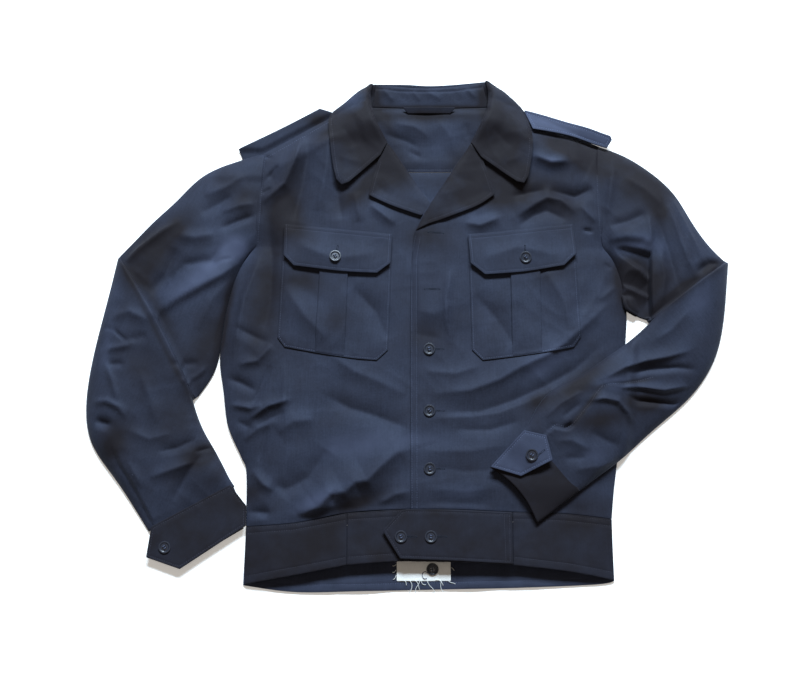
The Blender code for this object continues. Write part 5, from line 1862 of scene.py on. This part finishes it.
def build_stitching():
    """Rows of topstitching on every piece that shows them, and near-black painted shade at the
    needle holes between the stitches.
    """
    hole_shade_marks = []
    rows_on = {
        "cloth_front_left": LEFT_ROWS,
        "cloth_front_right": RIGHT_ROWS,
        "cloth_back_yoke": [[(-60, YOKE_SEAM_Y + 3.5), (100, YOKE_SEAM_Y + 3.5)]],
        "cloth_waistband_back": [shifted(clipped(BACK_HEM, -120, 210), 0, 8)],
        "cloth_waistband_right_side": band_rows(-195, RIGHT_SEAM_X),
        "cloth_waistband_right_front": band_rows(RIGHT_SEAM_X, PLACKET_X),
        "cloth_waistband_left_side": band_rows(LEFT_SEAM_X, 249),
        "cloth_sleeve_left": [SEAM_LEFT, shifted(VENT_LEFT, 3.0, 3.5)],
        "cloth_sleeve_right": [[(-335, -172), (-330, -174.5)]],
        "cloth_lapel_right": [LAPEL_ROWS[0]],
        "cloth_lapel_left": [LAPEL_ROWS[1]],
        "cloth_collar_fall_right": [LEAF_ROWS[0]],
        "cloth_collar_fall_left": [LEAF_ROWS[1]],
    }
    for side, pocket, flap in (("right", POCKET_RIGHT, FLAP_RIGHT),
                               ("left", POCKET_LEFT, FLAP_LEFT)):
        rows_on[f"cloth_pocket_{side}"] = [
            seam(outline(pocket), pocket[0][:2], pocket[1][:2], POCKET_ROW)]
        rows_on[f"cloth_pocket_flap_{side}"] = flap_rows(outline(flap), flap)
    for name, rows, by in (("cloth_waist_tab", WAIST_TAB, TAB_ROW),
                           ("cloth_cuff_tab_right", CUFF_TAB_RIGHT, TAB_ROW),
                           ("cloth_cuff_tab_left", CUFF_TAB_LEFT, TAB_ROW),
                           ("cloth_epaulette_left", EPAULETTE_LEFT, STRAP_ROW)):
        ring = row_inside(outline(rows), by)
        rows_on[name] = [np.vstack([ring, ring[:1]])]
    rows_on["cloth_waist_tab"].append(TAB_END_ROW)
    for name, lines in rows_on.items():
        top = Surface(bpy.data.objects[name])
        # Each row of stitches takes the painted shade and light of the piece it is sewn on.
        paint_shade_and_light(sewn(name.replace("cloth_", "stitches_"), [stitches(line, top) for line in lines],
                     thread()), name)
        # Near-black marks of painted shade at the needle holes.
        hole_shade_marks += [stitches(line, top, None, 0.5, 0.08, 0.0, 0.2) for line in lines]
    sewn("needle_holes", hole_shade_marks, thread("hole_shade"))


# ---------------------------------------------------------------- stage

TARGET = (-0.0136, -0.0220, 0.0)
CAMERA_AWAY = (0.0, -0.3534, 1.6629)
LENS = 61.2
FLOOR_SIZE = 14
FLOOR_Z = -0.0004


# Lights: name, watts, size, place and colour. They point at the middle of the jacket
LIGHTS = (("light_main", 560, (2.6, 0.9), (0.3, 3.50, 2.85), (0.72, 0.87, 1.0)),
          ("light_over", 6, (2.0, 2.0), (-0.3, -0.8, 2.2), (1.0, 0.90, 0.80)))


def soft_light(name, energy, size, place, colour):
    """A rectangular area light aimed at the middle of the jacket."""
    data = bpy.data.lights.new(name, "AREA")
    data.shape = "RECTANGLE"
    data.size, data.size_y = size
    data.energy = energy
    data.color = colour
    lamp = link_new(name, data)
    lamp.location = place
    lamp.rotation_euler = (-Vector(place)).to_track_quat("-Z", "Y").to_euler()


def build_stage():
    """Pale floor, soft studio light and the camera."""
    bpy.ops.object.select_all(action="DESELECT")
    bpy.ops.mesh.primitive_plane_add(size=FLOOR_SIZE, location=(0, 0, FLOOR_Z))
    floor = bpy.context.object
    floor.name = "floor"
    bpy.ops.object.mode_set(mode="EDIT")
    bpy.ops.mesh.subdivide(number_cuts=1)
    bpy.ops.object.mode_set(mode="OBJECT")
    paper, _, shader = new_finish("floor_paper")
    set_inputs(shader, {"Base Color": (0.93, 0.93, 0.93, 1), "Roughness": 0.9,
                        "Specular IOR Level": 0.1, "Emission Color": (1.0, 0.97, 0.92, 1),
                        "Emission Strength": 0.3})
    floor.data.materials.append(paper)

    for light in LIGHTS:
        soft_light(*light)
    world = bpy.data.worlds.new("studio")
    world.use_nodes = True
    set_inputs(world.node_tree.nodes["Background"],
               {"Color": (1.0, 0.87, 0.74, 1), "Strength": 0.13})
    bpy.context.scene.world = world
    bpy.context.scene.view_settings.view_transform = "Standard"

    data = bpy.data.cameras.new("camera")
    data.lens = LENS
    data.sensor_width = 36
    data.clip_end = 100
    camera = link_new("camera", data)
    camera.location = Vector(TARGET) + Vector(CAMERA_AWAY)
    camera.rotation_euler = (-Vector(CAMERA_AWAY)).to_track_quat("-Z", "Y").to_euler()
    bpy.context.scene.camera = camera


# ---------------------------------------------------------------- operators and panel


class JacketBack(bpy.types.Operator):
    """Lay the back, the yoke and the back of the waistband"""
    bl_idname = "jacket.back"
    bl_label = "Back"

    def execute(self, context):
        build_back()
        return {"FINISHED"}


class JacketFronts(bpy.types.Operator):
    """Lay the right front and the left front over it"""
    bl_idname = "jacket.fronts"
    bl_label = "Fronts"

    def execute(self, context):
        build_fronts()
        return {"FINISHED"}


class JacketWaistband(bpy.types.Operator):
    """Lay the front of the waistband and its tab"""
    bl_idname = "jacket.waistband"
    bl_label = "Waistband"

    def execute(self, context):
        build_waistband()
        return {"FINISHED"}


class JacketPockets(bpy.types.Operator):
    """Lay the pockets, their pleats and flaps"""
    bl_idname = "jacket.pockets"
    bl_label = "Pockets"

    def execute(self, context):
        build_pockets()
        return {"FINISHED"}


class JacketCollar(bpy.types.Operator):
    """Lay the lapels, the collar and the hanger loop"""
    bl_idname = "jacket.collar"
    bl_label = "Collar and lapels"

    def execute(self, context):
        build_lapels()
        build_collar()
        return {"FINISHED"}


class JacketSleeves(bpy.types.Operator):
    """Lay the folded sleeves, their cuffs and the cuff ends"""
    bl_idname = "jacket.sleeves"
    bl_label = "Sleeves and cuffs"

    def execute(self, context):
        build_sleeves()
        return {"FINISHED"}


class JacketStraps(bpy.types.Operator):
    """Lay the two shoulder straps"""
    bl_idname = "jacket.straps"
    bl_label = "Shoulder straps"

    def execute(self, context):
        build_epaulettes()
        return {"FINISHED"}


class JacketLabel(bpy.types.Operator):
    """Lay the blank label"""
    bl_idname = "jacket.label"
    bl_label = "Label"

    def execute(self, context):
        build_label()
        return {"FINISHED"}


class JacketButtons(bpy.types.Operator):
    """Model one button and sew on its copies"""
    bl_idname = "jacket.buttons"
    bl_label = "Buttons"

    def execute(self, context):
        build_buttons()
        return {"FINISHED"}


class JacketSewing(bpy.types.Operator):
    """Sew the topstitching and the buttonholes"""
    bl_idname = "jacket.sewing"
    bl_label = "Stitching"

    def execute(self, context):
        build_buttonholes()
        build_stitching()
        return {"FINISHED"}


class JacketStage(bpy.types.Operator):
    """Set up the floor, the lights and the camera"""
    bl_idname = "jacket.stage"
    bl_label = "Stage"

    def execute(self, context):
        build_stage()
        return {"FINISHED"}


class JacketPanel(bpy.types.Panel):
    """The jacket's sizes, colours and pieces"""
    bl_idname = "VIEW3D_PT_jacket"
    bl_label = "Windbreaker Jacket"
    bl_space_type = "VIEW_3D"
    bl_region_type = "UI"
    bl_category = "Jacket"

    def draw(self, context):
        layout = self.layout
        for group in (context.scene.jacket_sizes, context.scene.jacket_colours):
            for name in type(group).__annotations__:
                layout.prop(group, name)
        for step in STEPS:
            layout.operator(step.bl_idname)


STEPS = (JacketBack, JacketFronts, JacketWaistband, JacketPockets, JacketCollar, JacketSleeves,
         JacketStraps, JacketLabel, JacketButtons, JacketSewing, JacketStage)
CLASSES = (JacketSizes, JacketColours, *STEPS, JacketPanel)


def register():
    """Register the classes and the sizes and colours on the scene."""
    for cls in CLASSES:
        bpy.utils.register_class(cls)
    bpy.types.Scene.jacket_sizes = bpy.props.PointerProperty(type=JacketSizes)
    bpy.types.Scene.jacket_colours = bpy.props.PointerProperty(type=JacketColours)


def unregister():
    """Take the classes and the properties away again."""
    del bpy.types.Scene.jacket_colours
    del bpy.types.Scene.jacket_sizes
    for cls in reversed(CLASSES):
        bpy.utils.unregister_class(cls)


def main():
    """Build every piece in order."""
    register()
    bpy.ops.jacket.back()
    bpy.ops.jacket.fronts()
    bpy.ops.jacket.waistband()
    bpy.ops.jacket.pockets()
    bpy.ops.jacket.collar()
    bpy.ops.jacket.sleeves()
    bpy.ops.jacket.straps()
    bpy.ops.jacket.label()
    bpy.ops.jacket.buttons()
    bpy.ops.jacket.sewing()
    bpy.ops.jacket.stage()


if __name__ == "__main__":
    main()
